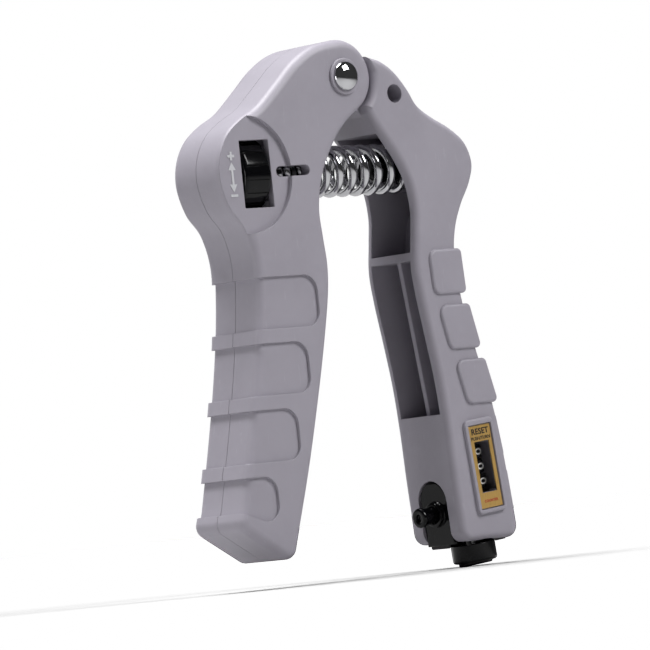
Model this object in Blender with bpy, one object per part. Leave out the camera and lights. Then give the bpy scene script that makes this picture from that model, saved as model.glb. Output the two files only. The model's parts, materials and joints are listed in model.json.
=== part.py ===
"""Hand grip exerciser with an adjusting wheel, a compression spring and a three-digit counter.

Every outline is given in millimetres from the hinge axis: x to the right, z up, y into the page.
The counter's pieces are given in their own frame, which is centred on its window and leans with the handle.
"""
import math

import bmesh
import bpy
from mathutils import Matrix, Vector

MM = 0.001

# Where the hinge axis stands, so that the whole grip is centred over the origin and rests on z = 0
HINGE_X, HINGE_Z = 1.93, 138.55

# Both handles
HALF_THICK = 11.0
FACE_FILLET = 2.6
FOOT_ROUND = 3.4
GAP = 0.3

# Hinge
EAR_R = 10.5
KNUCKLE_R = 7.6
KNUCKLE_HALF = 7.2
STEP_R = 11.1
RIVET_R, BUSH_R, HEAD_R = 2.5, 3.7, 4.1
EAR_BOSS_R, EAR_BOSS_H = 5.1, 0.8

# Adjuster handle
CAVITY_HALF = 7.6
WALL = 2.4
PANEL_X, PANEL_Z, PANEL_R, PANEL_DEEP = -38.6, -25.6, 16.4, 1.3
WINDOW_LEFT, WINDOW_RIGHT, WINDOW_HALF_H = -38.7, -28.4, 9.3
SLOT_LEFT, SLOT_RIGHT, SLOT_H = -26.6, -15.7, 2.9
SCREW_PLACES = ((-14.5, -4.5), (-29.5, -60.5), (-38.5, -104.0))
FINGER_REST_TOP, FINGER_REST_PITCH, FINGER_REST_H, FINGER_REST_DEEP = -54.0, 18.0, 14.2, 0.8
LAST_REST_RISE = 7.5

# Spring and its adjuster, all on one axis along x
SPRING_Z = -25.3
SPRING_MEAN_R, WIRE_R = 6.1, 1.1
SPRING_LEFT, SPRING_RIGHT, SPRING_TURNS = -24.3, 34.6, 13.0
WHEEL_R, WHEEL_RIDGES = 11.0, 18
SPINDLE_R = 2.5
PUSHER_X = -26.2

# Counter handle
CHANNEL_HALF, CHANNEL_WALL = 8.4, 2.6
CHANNEL_TOP, RIB_TOP, RIB_FOOT, POCKET_FOOT = -16.0, -49.7, -52.0, -95.4
HANDLE_FOOT = -131.4
PAD_TOP, PAD_PITCH, PAD_H, PAD_RISE = -49.5, 15.6, 12.6, 0.9
LANYARD_X, LANYARD_Z, LANYARD_R = 17.8, -5.3, 2.6

# Counter frame of reference: its window's centre and lean
COUNTER_X, COUNTER_Z, COUNTER_LEAN = 36.4, -111.1, 5.0
DRUM_X, DRUM_Y, DRUM_R, DRUM_PITCH = -0.5, -3.4, 5.2, 4.2
PINION_Y = 4.1
PLUNGER_Z = -11.1
GUIDE_HALF_W, GUIDE_TOP = 5.6, -1.9
KNOB_X, KNOB_Y = -2.5, -3.4
KNOB_R, KNOB_TOP, KNOB_FOOT, KNOB_WELL = 6.2, -20.7, -26.0, -19.6

# Colour, roughness and metallic value of each finish
FINISHES = {
    "grey_plastic": ((0.50, 0.51, 0.54, 1.0), 0.42, 0.0),
    "black_plastic": ((0.012, 0.012, 0.013, 1.0), 0.22, 0.0),
    "dark_plastic": ((0.05, 0.05, 0.055, 1.0), 0.45, 0.0),
    "chrome": ((0.80, 0.80, 0.82, 1.0), 0.08, 1.0),
    "steel": ((0.55, 0.55, 0.56, 1.0), 0.30, 1.0),
    "brass": ((0.78, 0.60, 0.30, 1.0), 0.30, 1.0),
    "gold_foil": ((0.62, 0.42, 0.13, 1.0), 0.35, 0.7),
}


def material(node, finish):
    """One Principled material for one node."""
    colour, roughness, metallic = FINISHES[finish]
    made = bpy.data.materials.new(node)
    made.use_nodes = True
    shader = made.node_tree.nodes["Principled BSDF"]
    shader.inputs["Base Color"].default_value = colour
    shader.inputs["Roughness"].default_value = roughness
    shader.inputs["Metallic"].default_value = metallic
    made.diffuse_color = colour
    return made


def finish_object(bm, name, finish=None, origin=(0, 0, 0), parent=None):
    """Turns a mesh in millimetres into an object whose origin is at the given place."""
    bmesh.ops.translate(bm, vec=-Vector(origin), verts=bm.verts)
    bmesh.ops.scale(bm, vec=(MM, MM, MM), verts=bm.verts)
    bmesh.ops.recalc_face_normals(bm, faces=bm.faces)
    mesh = bpy.data.meshes.new(name)
    bm.to_mesh(mesh)
    bm.free()
    mesh.shade_smooth()
    mesh.set_sharp_from_angle(angle=math.radians(35))
    obj = bpy.data.objects.new(name, mesh)
    bpy.context.collection.objects.link(obj)
    obj.location = Vector(origin) * MM
    obj.parent = parent
    if finish:
        mesh.materials.append(material(name, finish))
    else:
        obj.hide_render = True
        obj.display_type = "WIRE"
    return obj


def boolean(obj, other, operation="DIFFERENCE"):
    """Cuts or joins another object's shape."""
    step = obj.modifiers.new(other.name, "BOOLEAN")
    step.operation = operation
    step.solver = "EXACT"
    step.object = other


def arc(cx, cz, radius, start, end, steps):
    """Points on a circle from one angle to another, in degrees."""
    angles = [math.radians(start + (end - start) * i / steps) for i in range(steps + 1)]
    return [(cx + radius * math.cos(a), cz + radius * math.sin(a)) for a in angles]


def smooth(points, steps=3):
    """A curve through the given points, with its ends at the first and the last."""
    ends = [points[0]] + list(points) + [points[-1]]
    line = []
    for before, start, end, after in zip(ends, ends[1:], ends[2:], ends[3:]):
        for i in range(steps):
            t = i / steps
            line.append(tuple(
                0.5 * (2 * b + (c - a) * t + (2 * a - 5 * b + 4 * c - d) * t * t
                       + (3 * b - a - 3 * c + d) * t ** 3)
                for a, b, c, d in zip(before, start, end, after)))
    return line + [points[-1]]


def corner(before, point, after, radius, steps=4):
    """A rounded corner between two straight edges."""
    to_before = (Vector(before) - Vector(point)).normalized()
    to_after = (Vector(after) - Vector(point)).normalized()
    half = to_before.angle(to_after) / 2
    centre = Vector(point) + (to_before + to_after).normalized() * radius / math.sin(half)
    first = Vector(point) + to_before * radius / math.tan(half) - centre
    last = Vector(point) + to_after * radius / math.tan(half) - centre
    sweep = first.angle(last)
    return [tuple(centre + (first * math.sin(sweep * (1 - i / steps))
                            + last * math.sin(sweep * i / steps)) / math.sin(sweep))
            for i in range(steps + 1)]


def inset(outline, distance):
    """A closed outline moved inwards by a distance; a negative one moves it outwards."""
    count = len(outline)
    area = sum(a[0] * b[1] - b[0] * a[1] for a, b in zip(outline, outline[1:] + outline[:1]))
    side = 1 if area > 0 else -1
    moved = []
    for i in range(count):
        here = Vector(outline[i])
        arriving = (here - Vector(outline[i - 1])).normalized()
        leaving = (Vector(outline[(i + 1) % count]) - here).normalized()
        along = (arriving + leaving).normalized()
        inwards = Vector((-along.y, along.x)) * side / along.dot(leaving)
        moved.append(tuple(here + inwards * distance))
    return moved


def box_outline(x0, x1, z0, z1, radius=0.0):
    """A rectangle, with rounded corners if a radius is given."""
    corners = [(x0, z0), (x1, z0), (x1, z1), (x0, z1)]
    if not radius:
        return corners
    points = []
    for i, point in enumerate(corners):
        points += corner(corners[i - 1], point, corners[(i + 1) % 4], radius, 3)
    return points


def prism_mesh(outline, y0, y1, front_fillet=0.0, back_fillet=0.0, segments=2):
    """An outline in x and z pushed through from y0 to y1, with fillets round its two faces."""
    bm = bmesh.new()
    face = bm.faces.new([bm.verts.new((x, y0, z)) for x, z in outline])
    pushed = bmesh.ops.extrude_face_region(bm, geom=[face])["geom"]
    bmesh.ops.translate(bm, vec=(0, y1 - y0, 0),
                        verts=[v for v in pushed if isinstance(v, bmesh.types.BMVert)])
    for level, fillet in ((y0, front_fillet), (y1, back_fillet)):
        if fillet:
            rim = [e for e in bm.edges if all(abs(v.co.y - level) < 1e-4 for v in e.verts)]
            bmesh.ops.bevel(bm, geom=rim, offset=fillet, segments=segments, profile=0.5,
                            affect="EDGES", clamp_overlap=True)
    return bm


def prism(name, outline, y0, y1, finish=None, origin=(0, 0, 0), parent=None, **fillets):
    return finish_object(prism_mesh(outline, y0, y1, **fillets), name, finish, origin, parent)


def turned_mesh(profile, sides, axis="Z", centre=(0, 0, 0)):
    """A closed profile of (radius, height) points turned round an axis through the centre."""
    bm = bmesh.new()
    verts = [bm.verts.new((r, 0, h)) for r, h in profile]
    ring = verts if profile[0][0] < 1e-6 else verts + verts[:1]
    edges = [bm.edges.new(pair) for pair in zip(ring, ring[1:])]
    bmesh.ops.spin(bm, geom=verts + edges, axis=(0, 0, 1), cent=(0, 0, 0), steps=sides,
                   angle=2 * math.pi, use_merge=False)
    bmesh.ops.remove_doubles(bm, verts=bm.verts, dist=1e-4)
    turn = {"Z": Matrix(), "Y": Matrix.Rotation(-math.pi / 2, 4, "X"),
            "X": Matrix.Rotation(math.pi / 2, 4, "Y")}[axis]
    bm.transform(Matrix.Translation(centre) @ turn)
    return bm


def turned(name, profile, sides, axis, centre, finish=None, parent=None):
    return finish_object(turned_mesh(profile, sides, axis, centre), name, finish, centre, parent)


def tube_profile(inner, outer, low, high, chamfer=0.0):
    """A plain ring's profile, with its outer corners chamfered."""
    if chamfer:
        return [(inner, low), (outer - chamfer, low), (outer, low + chamfer),
                (outer, high - chamfer), (outer - chamfer, high), (inner, high)]
    return [(inner, low), (outer, low), (outer, high), (inner, high)]


def rod_profile(radius, low, high, chamfer=0.0):
    """A solid rod's profile, from pole to pole."""
    return [(0, low), (radius - chamfer, low), (radius, low + chamfer),
            (radius, high - chamfer), (radius - chamfer, high), (0, high)] if chamfer else [
            (0, low), (radius, low), (radius, high), (0, high)]


def coil_mesh(mean_r, wire_r, turns, start, end, steps, sides, axis="X", centre=(0, 0, 0)):
    """A compression spring with one closed turn at each end."""
    bm = bmesh.new()
    closed = 2 * wire_r * 1.08
    open_pitch = (end - start - 2 * wire_r - 2 * closed) / (turns - 2)

    def height(turn):
        ends = min(turn, 1.0) * closed + max(turn - turns + 1, 0.0) * closed
        return start + wire_r + ends + min(max(turn - 1, 0.0), turns - 2) * open_pitch

    rings = []
    count = round(turns * steps)
    for i in range(count + 1):
        angle = 2 * math.pi * i / steps
        out = Vector((math.cos(angle), math.sin(angle), 0))
        middle = out * mean_r + Vector((0, 0, height(i / steps)))
        across = [2 * math.pi * k / sides for k in range(sides)]
        rings.append([bm.verts.new(middle + out * wire_r * math.cos(a)
                                   + Vector((0, 0, wire_r * math.sin(a)))) for a in across])
    for low, high in zip(rings, rings[1:]):
        for k in range(sides):
            bm.faces.new((low[k], low[(k + 1) % sides], high[(k + 1) % sides], high[k]))
    bm.faces.new(rings[0])
    bm.faces.new(rings[-1])
    turn = {"X": Matrix.Rotation(math.pi / 2, 4, "Y"), "Z": Matrix()}[axis]
    bm.transform(Matrix.Translation(centre) @ turn)
    return bm


def cutter_cylinder(name, radius, low, high, axis, centre, sides=24, parent=None):
    return turned(name, rod_profile(radius, low, high), sides, axis, centre, None, parent)


# ---------------------------------------------------------------- outlines

def adjuster_outline():
    """The handle that the fingers pull: ear, inner edge, slanted foot, outer edge and bulge."""
    ear = arc(0, 0, EAR_R, 96, -58, 12)
    inner = smooth([ear[-1], (-0.6, -13.4), (-5.8, -19.4), (-10.2, -27.2), (-12.4, -36.0),
                    (-12.1, -44.0), (-11.6, -52.0), (-12.7, -61.0), (-16.4, -76.0),
                    (-21.0, -92.0), (-26.2, -108.5), (-32.4, -126.0)], 2)[1:]
    foot_right, foot_left = (-34.7, -132.6), (-52.9, -121.2)
    outer = smooth([(-50.9, -115.5), (-47.6, -103.0), (-43.6, -87.0), (-40.4, -72.0),
                    (-38.4, -59.0), (-37.8, -49.0), (-40.0, -40.6), (-44.4, -34.6),
                    (-46.8, -27.0), (-46.0, -20.2), (-42.6, -14.4), (-37.4, -10.4),
                    (-31.0, -7.0), (-24.0, -1.2), (-17.0, 4.8), (-9.4, 8.9), ear[0]], 2)[:-1]
    return (ear + inner + corner(inner[-1], foot_right, foot_left, FOOT_ROUND)
            + corner(foot_right, foot_left, outer[0], FOOT_ROUND) + outer)


def counter_outer_edge():
    """The counter handle's outer edge, from the hinge down to its foot."""
    return smooth([(9.6, 5.6), (14.2, 4.3), (19.0, 1.2), (23.2, -3.6), (26.4, -8.6),
                   (31.2, -12.0), (37.4, -15.3), (42.6, -19.6), (44.7, -25.6), (43.0, -31.2),
                   (39.0, -37.4), (36.0, -44.0), (34.7, -52.0), (35.7, -64.0), (38.9, -78.0),
                   (42.1, -89.5), (44.4, -102.0), (45.9, -115.0), (46.9, -126.0)], 2)


def counter_inner_edge():
    """The counter handle's inner edge, from its foot up to the hinge."""
    return smooth([(25.9, -126.0), (25.1, -112.0), (24.6, -99.0), (23.6, -86.0),
                   (21.8, -73.5), (20.0, -62.0), (19.3, -53.5), (20.4, -45.0), (21.2, -38.0),
                   (20.2, -30.5), (17.2, -24.0), (13.4, -18.4), (10.0, -13.8), (7.9, -10.2)], 2)


def counter_outline():
    outer, inner = counter_outer_edge(), counter_inner_edge()
    foot_right, foot_left = (47.3, HANDLE_FOOT), (26.2, HANDLE_FOOT)
    step = arc(0, 0, STEP_R, -48, 28, 6)
    return (outer + corner(outer[-1], foot_right, foot_left, FOOT_ROUND)
            + corner(foot_right, foot_left, inner[0], FOOT_ROUND) + inner + step)


# ---------------------------------------------------------------- adjuster handle

def adjuster_shell(name, y0, y1):
    """One half of the adjuster handle; its outer face is at the y that is further from zero."""
    side = -1 if y0 < -1 else 1
    outline = adjuster_outline()
    fillet = {"front_fillet": FACE_FILLET} if side < 0 else {"back_fillet": FACE_FILLET}
    shell = prism(name, outline, y0, y1, "grey_plastic", segments=2, **fillet)
    tag = "front" if side < 0 else "back"

    cavity = prism(f"cut_cavity_{tag}", inset(outline, WALL), -CAVITY_HALF, CAVITY_HALF)
    boolean(shell, cavity)
    add_posts(shell, side, tag)
    mouth = [(0, 0)] + arc(0, 0, 22, 64, -93, 12)
    boolean(shell, prism(f"cut_mouth_{tag}", mouth, -CAVITY_HALF, CAVITY_HALF))
    boolean(shell, cutter_cylinder(f"cut_knuckle_room_{tag}", KNUCKLE_R + 0.5, -CAVITY_HALF,
                                   CAVITY_HALF, "Y", (0, 0, 0), 28))
    boolean(shell, prism(f"cut_spring_mouth_{tag}",
                         box_outline(-20, 4, SPRING_Z - 9.6, SPRING_Z + 9.0, 3.0),
                         -CAVITY_HALF, CAVITY_HALF))
    face = side * HALF_THICK
    boss = turned(f"join_ear_boss_{tag}", rod_profile(EAR_BOSS_R, -EAR_BOSS_H, 1.0, 0.3), 24,
                  "Y", (0, face, 0))
    if side > 0:
        boss.rotation_euler.x = math.pi
    boolean(shell, boss, "UNION")
    boolean(shell, cutter_cylinder(f"cut_rivet_{tag}", RIVET_R + GAP, -14, 14, "Y", (0, 0, 0)))
    panel_floor = side * (HALF_THICK - PANEL_DEEP)
    boolean(shell, prism(f"cut_panel_{tag}", arc(PANEL_X, PANEL_Z, PANEL_R, 0, 352.5, 47),
                         min(panel_floor, side * 14), max(panel_floor, side * 14)))
    window = box_outline(WINDOW_LEFT, WINDOW_RIGHT, PANEL_Z - WINDOW_HALF_H,
                         PANEL_Z + WINDOW_HALF_H)
    boolean(shell, prism(f"cut_window_{tag}", window, min(0, side * 14), max(0, side * 14)))
    add_finger_rests(shell, outline, side, tag)
    return shell


def add_posts(shell, side, tag):
    """Screw posts and the cradle that carries the spindle's outer end."""
    for i, (x, z) in enumerate(SCREW_PLACES):
        near, far = side * 0.15, side * (CAVITY_HALF + 1)
        post = prism(f"join_post_{tag}_{i}", arc(x, z, 3.6, 0, 337.5, 15), min(near, far),
                     max(near, far))
        boolean(shell, post, "UNION")
        if side < 0:
            boolean(shell, cutter_cylinder(f"cut_pilot_{tag}_{i}", 1.6, -7.5, 1, "Y", (x, 0, z), 14))
        else:
            boolean(shell, cutter_cylinder(f"cut_pilot_{tag}_{i}", 1.6, -1, 12, "Y", (x, 0, z), 14))
            boolean(shell, cutter_cylinder(f"cut_sink_{tag}_{i}", 2.9, 8.0, 13, "Y", (x, 0, z), 20))
    near, far = side * 0.15, side * (CAVITY_HALF + 1)
    cradle = prism(f"join_cradle_{tag}", box_outline(-42.4, -40.6, -36.0, -14.6), min(near, far),
                   max(near, far))
    boolean(shell, cradle, "UNION")
    boolean(shell, cutter_cylinder(f"cut_cradle_{tag}", SPINDLE_R + GAP, -47.0 + 2.8, -39.0, "X",
                                   (0, 0, SPRING_Z), 20))


def add_finger_rests(shell, outline, side, tag):
    """Four shallow rests that run from the handle's face round its outer side."""
    core = inset(outline, FINGER_REST_DEEP)
    floor = HALF_THICK - FINGER_REST_DEEP
    right_edges = (-17.4, -23.0, -29.0, -38.6)
    left_edges = (-44.0, -48.0, -53.0, -58.0)
    for i, (right, left) in enumerate(zip(right_edges, left_edges)):
        top = FINGER_REST_TOP - i * FINGER_REST_PITCH
        foot = top - FINGER_REST_H
        rise = LAST_REST_RISE if i == 3 else 0
        points = [(left, foot + rise), (right, foot), (right, top), (left, top)]
        outline_rest = []
        for n, point in enumerate(points):
            rounding = 4.5 if point[0] == right else 1.5
            outline_rest += corner(points[n - 1], point, points[(n + 1) % 4], rounding)
        rest = prism(f"cut_rest_{tag}_{i}", outline_rest, min(0, side * 13), max(0, side * 13))
        kept = prism(f"cut_rest_core_{tag}_{i}", core, -floor, floor, segments=2,
                     front_fillet=FACE_FILLET - 0.6, back_fillet=FACE_FILLET - 0.6)
        boolean(rest, kept)
        boolean(shell, rest)


def make_adjuster_handle():
    front = adjuster_shell("adjuster_handle_front", -HALF_THICK, -0.15)
    adjuster_shell("adjuster_handle_back", 0.15, HALF_THICK)
    slot = box_outline(SLOT_LEFT, SLOT_RIGHT, SPRING_Z - SLOT_H / 2, SPRING_Z + SLOT_H / 2,
                       SLOT_H / 2 - 0.02)
    boolean(front, prism("cut_slot", slot, -13, -5))


def make_shell_screws():
    """Three self-tapping screws that hold the two shells together, entered from the back."""
    profile = [(0, -6.2), (0.5, -6.2), (1.25, -4.6), (1.25, 8.3), (2.5, 8.3), (2.5, 9.3),
               (1.9, 10.0), (0, 10.0)]
    for number, (x, z) in enumerate(SCREW_PLACES, start=1):
        turned(f"shell_screw_{number}", profile, 16, "Y", (x, 0, z), "steel")


# ---------------------------------------------------------------- hinge

def make_hinge():
    head = -(HALF_THICK + EAR_BOSS_H + GAP)
    dome = [(HEAD_R * math.sin(a), head - 1.9 * math.cos(a))
            for a in [math.radians(d) for d in (0, 28, 56, 84)]]
    profile = dome + [(HEAD_R, head), (RIVET_R, head), (RIVET_R, 12.8), (3.6, 12.8), (3.6, 13.2),
                      (2.6, 13.8), (0, 14.0)]
    turned("hinge_rivet", profile, 24, "Y", (0, 0, 0), "chrome")
    turned("rivet_washer", tube_profile(RIVET_R + GAP, 4.7, 12.1, 12.5), 20, "Y", (0, 0, 0),
           "steel")
    turned("hinge_bush", tube_profile(RIVET_R + GAP, BUSH_R, -KNUCKLE_HALF, KNUCKLE_HALF), 24, "Y",
           (0, 0, 0), "brass")


# ---------------------------------------------------------------- spring and adjuster

def make_adjuster_wheel():
    """The ridged wheel that stands behind the window, turned about the spring's axis."""
    centre = (WINDOW_LEFT / 2 + WINDOW_RIGHT / 2, 0, SPRING_Z)
    half = (WINDOW_RIGHT - WINDOW_LEFT) / 2 - 0.5
    bm = bmesh.new()
    step = 2 * math.pi / WHEEL_RIDGES
    shape = ((-0.38, 10.35), (-0.24, WHEEL_R), (0.24, WHEEL_R), (0.38, 10.35))
    rim = [((r * math.cos(step * (i + part))), r * math.sin(step * (i + part)))
           for i in range(WHEEL_RIDGES) for part, r in shape]
    face = bm.faces.new([bm.verts.new((-half, y, z)) for y, z in rim])
    pushed = bmesh.ops.extrude_face_region(bm, geom=[face])["geom"]
    bmesh.ops.translate(bm, vec=(2 * half, 0, 0),
                        verts=[v for v in pushed if isinstance(v, bmesh.types.BMVert)])
    for level in (-half, half):
        edges = [e for e in bm.edges if all(abs(v.co.x - level) < 1e-4 for v in e.verts)]
        bmesh.ops.bevel(bm, geom=edges, offset=0.9, segments=1, affect="EDGES")
    bmesh.ops.translate(bm, vec=centre, verts=bm.verts)
    wheel = finish_object(bm, "adjuster_wheel", "black_plastic", centre)
    boolean(wheel, cutter_cylinder("cut_wheel_bore", SPINDLE_R + GAP, -8, 8, "X", centre, 20))


def make_spindle_and_pusher():
    centre = (0, 0, SPRING_Z)
    thread = [(0, -43.8), (1.9, -43.8), (SPINDLE_R, -43.2)]
    for crest in range(5):
        start = -15.6 + crest * 0.8
        thread += [(SPINDLE_R, start), (SPINDLE_R - 0.4, start + 0.4)]
    thread += [(1.4, -11.6), (0, -11.6)]
    turned("threaded_spindle", thread, 14, "X", centre, "steel")

    profile = [(SPINDLE_R + GAP, PUSHER_X), (7.3, PUSHER_X), (7.3, PUSHER_X + 1.6),
               (4.3, PUSHER_X + 1.6), (4.3, PUSHER_X + 9.4), (3.7, PUSHER_X + 10.2),
               (SPINDLE_R + GAP, PUSHER_X + 10.2)]
    pusher = turned("spring_pusher", profile, 24, "X", centre, "black_plastic")
    tab = prism("join_pusher_tab", box_outline(PUSHER_X, PUSHER_X + 1.6, SPRING_Z - 0.7,
                                               SPRING_Z + 0.7), -9.8, -5.5)
    boolean(pusher, tab, "UNION")


def make_spring():
    coil = coil_mesh(SPRING_MEAN_R, WIRE_R, SPRING_TURNS, SPRING_LEFT, SPRING_RIGHT, 12, 6, "X",
                     (0, 0, SPRING_Z))
    finish_object(coil, "compression_spring", "chrome", (SPRING_RIGHT, 0, SPRING_Z))
    seat = [(0, 16.2), (2.8, 16.2), (4.1, 17.6), (4.1, 34.9), (7.2, 34.9), (7.2, 36.0),
            (3.0, 36.0), (3.0, 38.2), (0, 38.2)]
    turned("spring_seat", seat, 24, "X", (0, 0, SPRING_Z), "black_plastic")


# ---------------------------------------------------------------- counter handle

def channel_outline(top, foot):
    """The hollow that opens towards the other handle, between two heights."""
    edge = [p for p in counter_outer_edge() if foot - 6 < p[1] < top + 6]
    wall = []
    for here, there in zip(edge, edge[1:]):
        along = (Vector(there) - Vector(here)).normalized()
        moved = Vector(here) + Vector((along.y, -along.x)) * CHANNEL_WALL
        if foot < moved.y < top:
            wall.append(tuple(moved))
    return [(-4.0, top), (wall[0][0], top)] + wall[1:-1] + [(wall[-1][0], foot), (-4.0, foot)]


def pad_object(index):
    """One raised pad: the upper three wrap on to both faces, the lower two sit on the edge."""
    top = PAD_TOP - index * PAD_PITCH
    foot = top - PAD_H
    edge = counter_outer_edge()

    def edge_x(z):
        for (x0, z0), (x1, z1) in zip(edge[4:], edge[5:]):
            if z1 <= z <= z0:
                return x0 + (x1 - x0) * (z - z0) / (z1 - z0)
        return edge[-1][0]

    upper, lower = edge_x(top), edge_x(foot)
    lean = lower - upper
    wraps = index < 3
    left = upper - (11.0, 10.6, 10.4)[index] if wraps else upper - 5.0
    corners = [(left, top), (upper + PAD_RISE, top), (lower + PAD_RISE, foot), (left + lean, foot)]
    radii = (2.6, 1.4, 1.4, 2.6)
    outline = []
    for i, point in enumerate(corners):
        outline += corner(corners[i - 1], point, corners[(i + 1) % 4], radii[i], 3)
    half = HALF_THICK + PAD_RISE if wraps else HALF_THICK - 1.6
    bm = prism_mesh(outline, -half, half)
    rims = [e for e in bm.edges if abs(e.verts[0].co.y - e.verts[1].co.y) < 1e-4]
    bmesh.ops.bevel(bm, geom=rims, offset=0.7, segments=2, profile=0.5, affect="EDGES")
    return finish_object(bm, f"join_pad_{index}")


def make_counter_handle(counter_axis):
    handle = prism("counter_handle", counter_outline(), -HALF_THICK, HALF_THICK, "grey_plastic",
                   front_fillet=FACE_FILLET - 0.8, back_fillet=FACE_FILLET - 0.8, segments=2)
    knuckle = (arc(0, 0, KNUCKLE_R, 292, 62, 14) + [(9.4, 6.0), (12.5, 4.2), (15.5, -2.0),
                                                    (13.5, -13.0), (9.0, -11.6), (7.2, -10.0)])
    boolean(handle, prism("join_knuckle", knuckle, -KNUCKLE_HALF, KNUCKLE_HALF), "UNION")
    for index in range(5):
        boolean(handle, pad_object(index), "UNION")
    bezel = prism("join_bezel", box_outline(-5.4, 5.2, -13.0, 13.6, 1.5), -HALF_THICK - 1.1,
                  -HALF_THICK + 1, parent=counter_axis, front_fillet=0.4)
    boolean(handle, bezel, "UNION")

    boolean(handle, prism("cut_upper_channel", channel_outline(CHANNEL_TOP, RIB_TOP),
                          -CHANNEL_HALF, CHANNEL_HALF))
    boolean(handle, prism("cut_lower_channel", channel_outline(RIB_FOOT, POCKET_FOOT),
                          -CHANNEL_HALF, CHANNEL_HALF))
    web = [(22.2, RIB_FOOT + 1), (33.6, RIB_FOOT + 1), (41.0, POCKET_FOOT - 1),
           (27.6, POCKET_FOOT - 1)]
    boolean(handle, prism("join_web", web, -0.8, 0.8), "UNION")
    pedestal = box_outline(38.5, 41.6, SPRING_Z - 5.5, SPRING_Z + 5.5)
    boolean(handle, prism("join_pedestal", pedestal, -5.5, 5.5), "UNION")
    cavity = box_outline(-9.3, 6.4, -24.0, 9.8)
    boolean(handle, prism("cut_counter_room", cavity, -CHANNEL_HALF, CHANNEL_HALF,
                          parent=counter_axis))
    boolean(handle, prism("cut_digit_window", box_outline(-2.8, 2.7, -7.2, 7.2), -14, -6,
                          parent=counter_axis))
    boolean(handle, prism("cut_drum_bay", box_outline(-2.9, 4.9, -6.7, 6.7), -11.2, -6,
                          parent=counter_axis))
    boolean(handle, prism("cut_label_seat", box_outline(-4.4, 4.2, -11.8, 12.0, 0.3), -14,
                          -HALF_THICK - 0.1, parent=counter_axis))
    boolean(handle, cutter_cylinder("cut_knob_room", KNOB_R + GAP, -30, KNOB_WELL, "Z",
                                    (KNOB_X, KNOB_Y, 0), 28, counter_axis))
    boolean(handle, guide_shape("cut_guide_notch", -18.0, -5.0, counter_axis, GAP))
    boolean(handle, cutter_cylinder("cut_lanyard", LANYARD_R, -14, 14, "Y",
                                    (LANYARD_X, 0, LANYARD_Z), 24))
    boolean(handle, cutter_cylinder("cut_bush_seat", BUSH_R + GAP, -9, 9, "Y", (0, 0, 0), 28))


# ---------------------------------------------------------------- counter

def guide_shape(name, x0, x1, parent, spare=0.0, finish=None):
    """The arched plate that closes the lower end of the inner side, pushed through along x."""
    half = GUIDE_HALF_W + spare
    arch = arc(0, GUIDE_TOP - GUIDE_HALF_W, half, 0, 180, 12)
    foot = -24.0 if spare else -20.0
    bm = bmesh.new()
    face = bm.faces.new([bm.verts.new((x0, y, z)) for y, z in arch + [(-half, foot), (half, foot)]])
    pushed = bmesh.ops.extrude_face_region(bm, geom=[face])["geom"]
    bmesh.ops.translate(bm, vec=(x1 - x0, 0, 0),
                        verts=[v for v in pushed if isinstance(v, bmesh.types.BMVert)])
    return finish_object(bm, name, finish, parent=parent)


def make_digit_wheels(counter_axis):
    for name, place in (("units", -DRUM_PITCH), ("tens", 0.0), ("hundreds", DRUM_PITCH)):
        profile = [(1.3, -1.9), (4.3, -1.9), (4.3, -1.5), (DRUM_R, -1.5), (DRUM_R, 1.9), (1.3, 1.9)]
        turned(f"digit_wheel_{name}", profile, 24, "Z", (DRUM_X, DRUM_Y, place), "black_plastic",
               counter_axis)
    turned("drum_shaft", rod_profile(1.0, -11.2, 9.2, 0.2), 14, "Z", (DRUM_X, DRUM_Y, 0), "steel",
           counter_axis)


def toothed_outline(teeth, root, tip, slope=0.25):
    """A wheel with plain flat-topped teeth."""
    step = 360 / teeth
    shape = ((-0.5 + slope / 2, root), (-0.25 + slope / 4, tip), (0.25 - slope / 4, tip),
             (0.5 - slope / 2, root))
    return [(r * math.cos(math.radians(step * (i + part))), r * math.sin(math.radians(step * (i + part))))
            for i in range(teeth) for part, r in shape]


def upright_prism_mesh(outline, low, high, place):
    """An outline in x and y pushed up from low to high."""
    bm = prism_mesh([(x, -y) for x, y in outline], low, high)
    bm.transform(Matrix.Translation(place) @ Matrix.Rotation(math.pi / 2, 4, "X"))
    return bm


def make_transfer_pinions(counter_axis):
    for name, place in (("tens", -DRUM_PITCH / 2), ("hundreds", DRUM_PITCH / 2)):
        centre = (DRUM_X, PINION_Y, place)
        bm = upright_prism_mesh(toothed_outline(8, 1.45, 1.95), -1.3, 1.3, centre)
        pinion = finish_object(bm, f"transfer_pinion_{name}", "brass", centre, counter_axis)
        boolean(pinion, cutter_cylinder(f"cut_pinion_{name}", 0.95, -3, 3, "Z", centre, 12,
                                        counter_axis))
    turned("pinion_axle", rod_profile(0.65, -9.8, 8.9), 10, "Z", (DRUM_X, PINION_Y, 0), "steel",
           counter_axis)


def make_drive_ratchet(counter_axis):
    """Ten one-way teeth under the units wheel."""
    points = []
    for i in range(10):
        points += [(3.9 * math.cos(math.radians(36 * i)), 3.9 * math.sin(math.radians(36 * i))),
                   (3.1 * math.cos(math.radians(36 * i + 4)), 3.1 * math.sin(math.radians(36 * i + 4)))]
    centre = (DRUM_X, DRUM_Y, -DRUM_PITCH)
    bm = upright_prism_mesh(points, -3.9, -2.2, centre)
    ratchet = finish_object(bm, "drive_ratchet", "brass", centre, counter_axis)
    boolean(ratchet, cutter_cylinder("cut_ratchet", 1.3, -6, 3, "Z", centre, 14, counter_axis))


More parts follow.
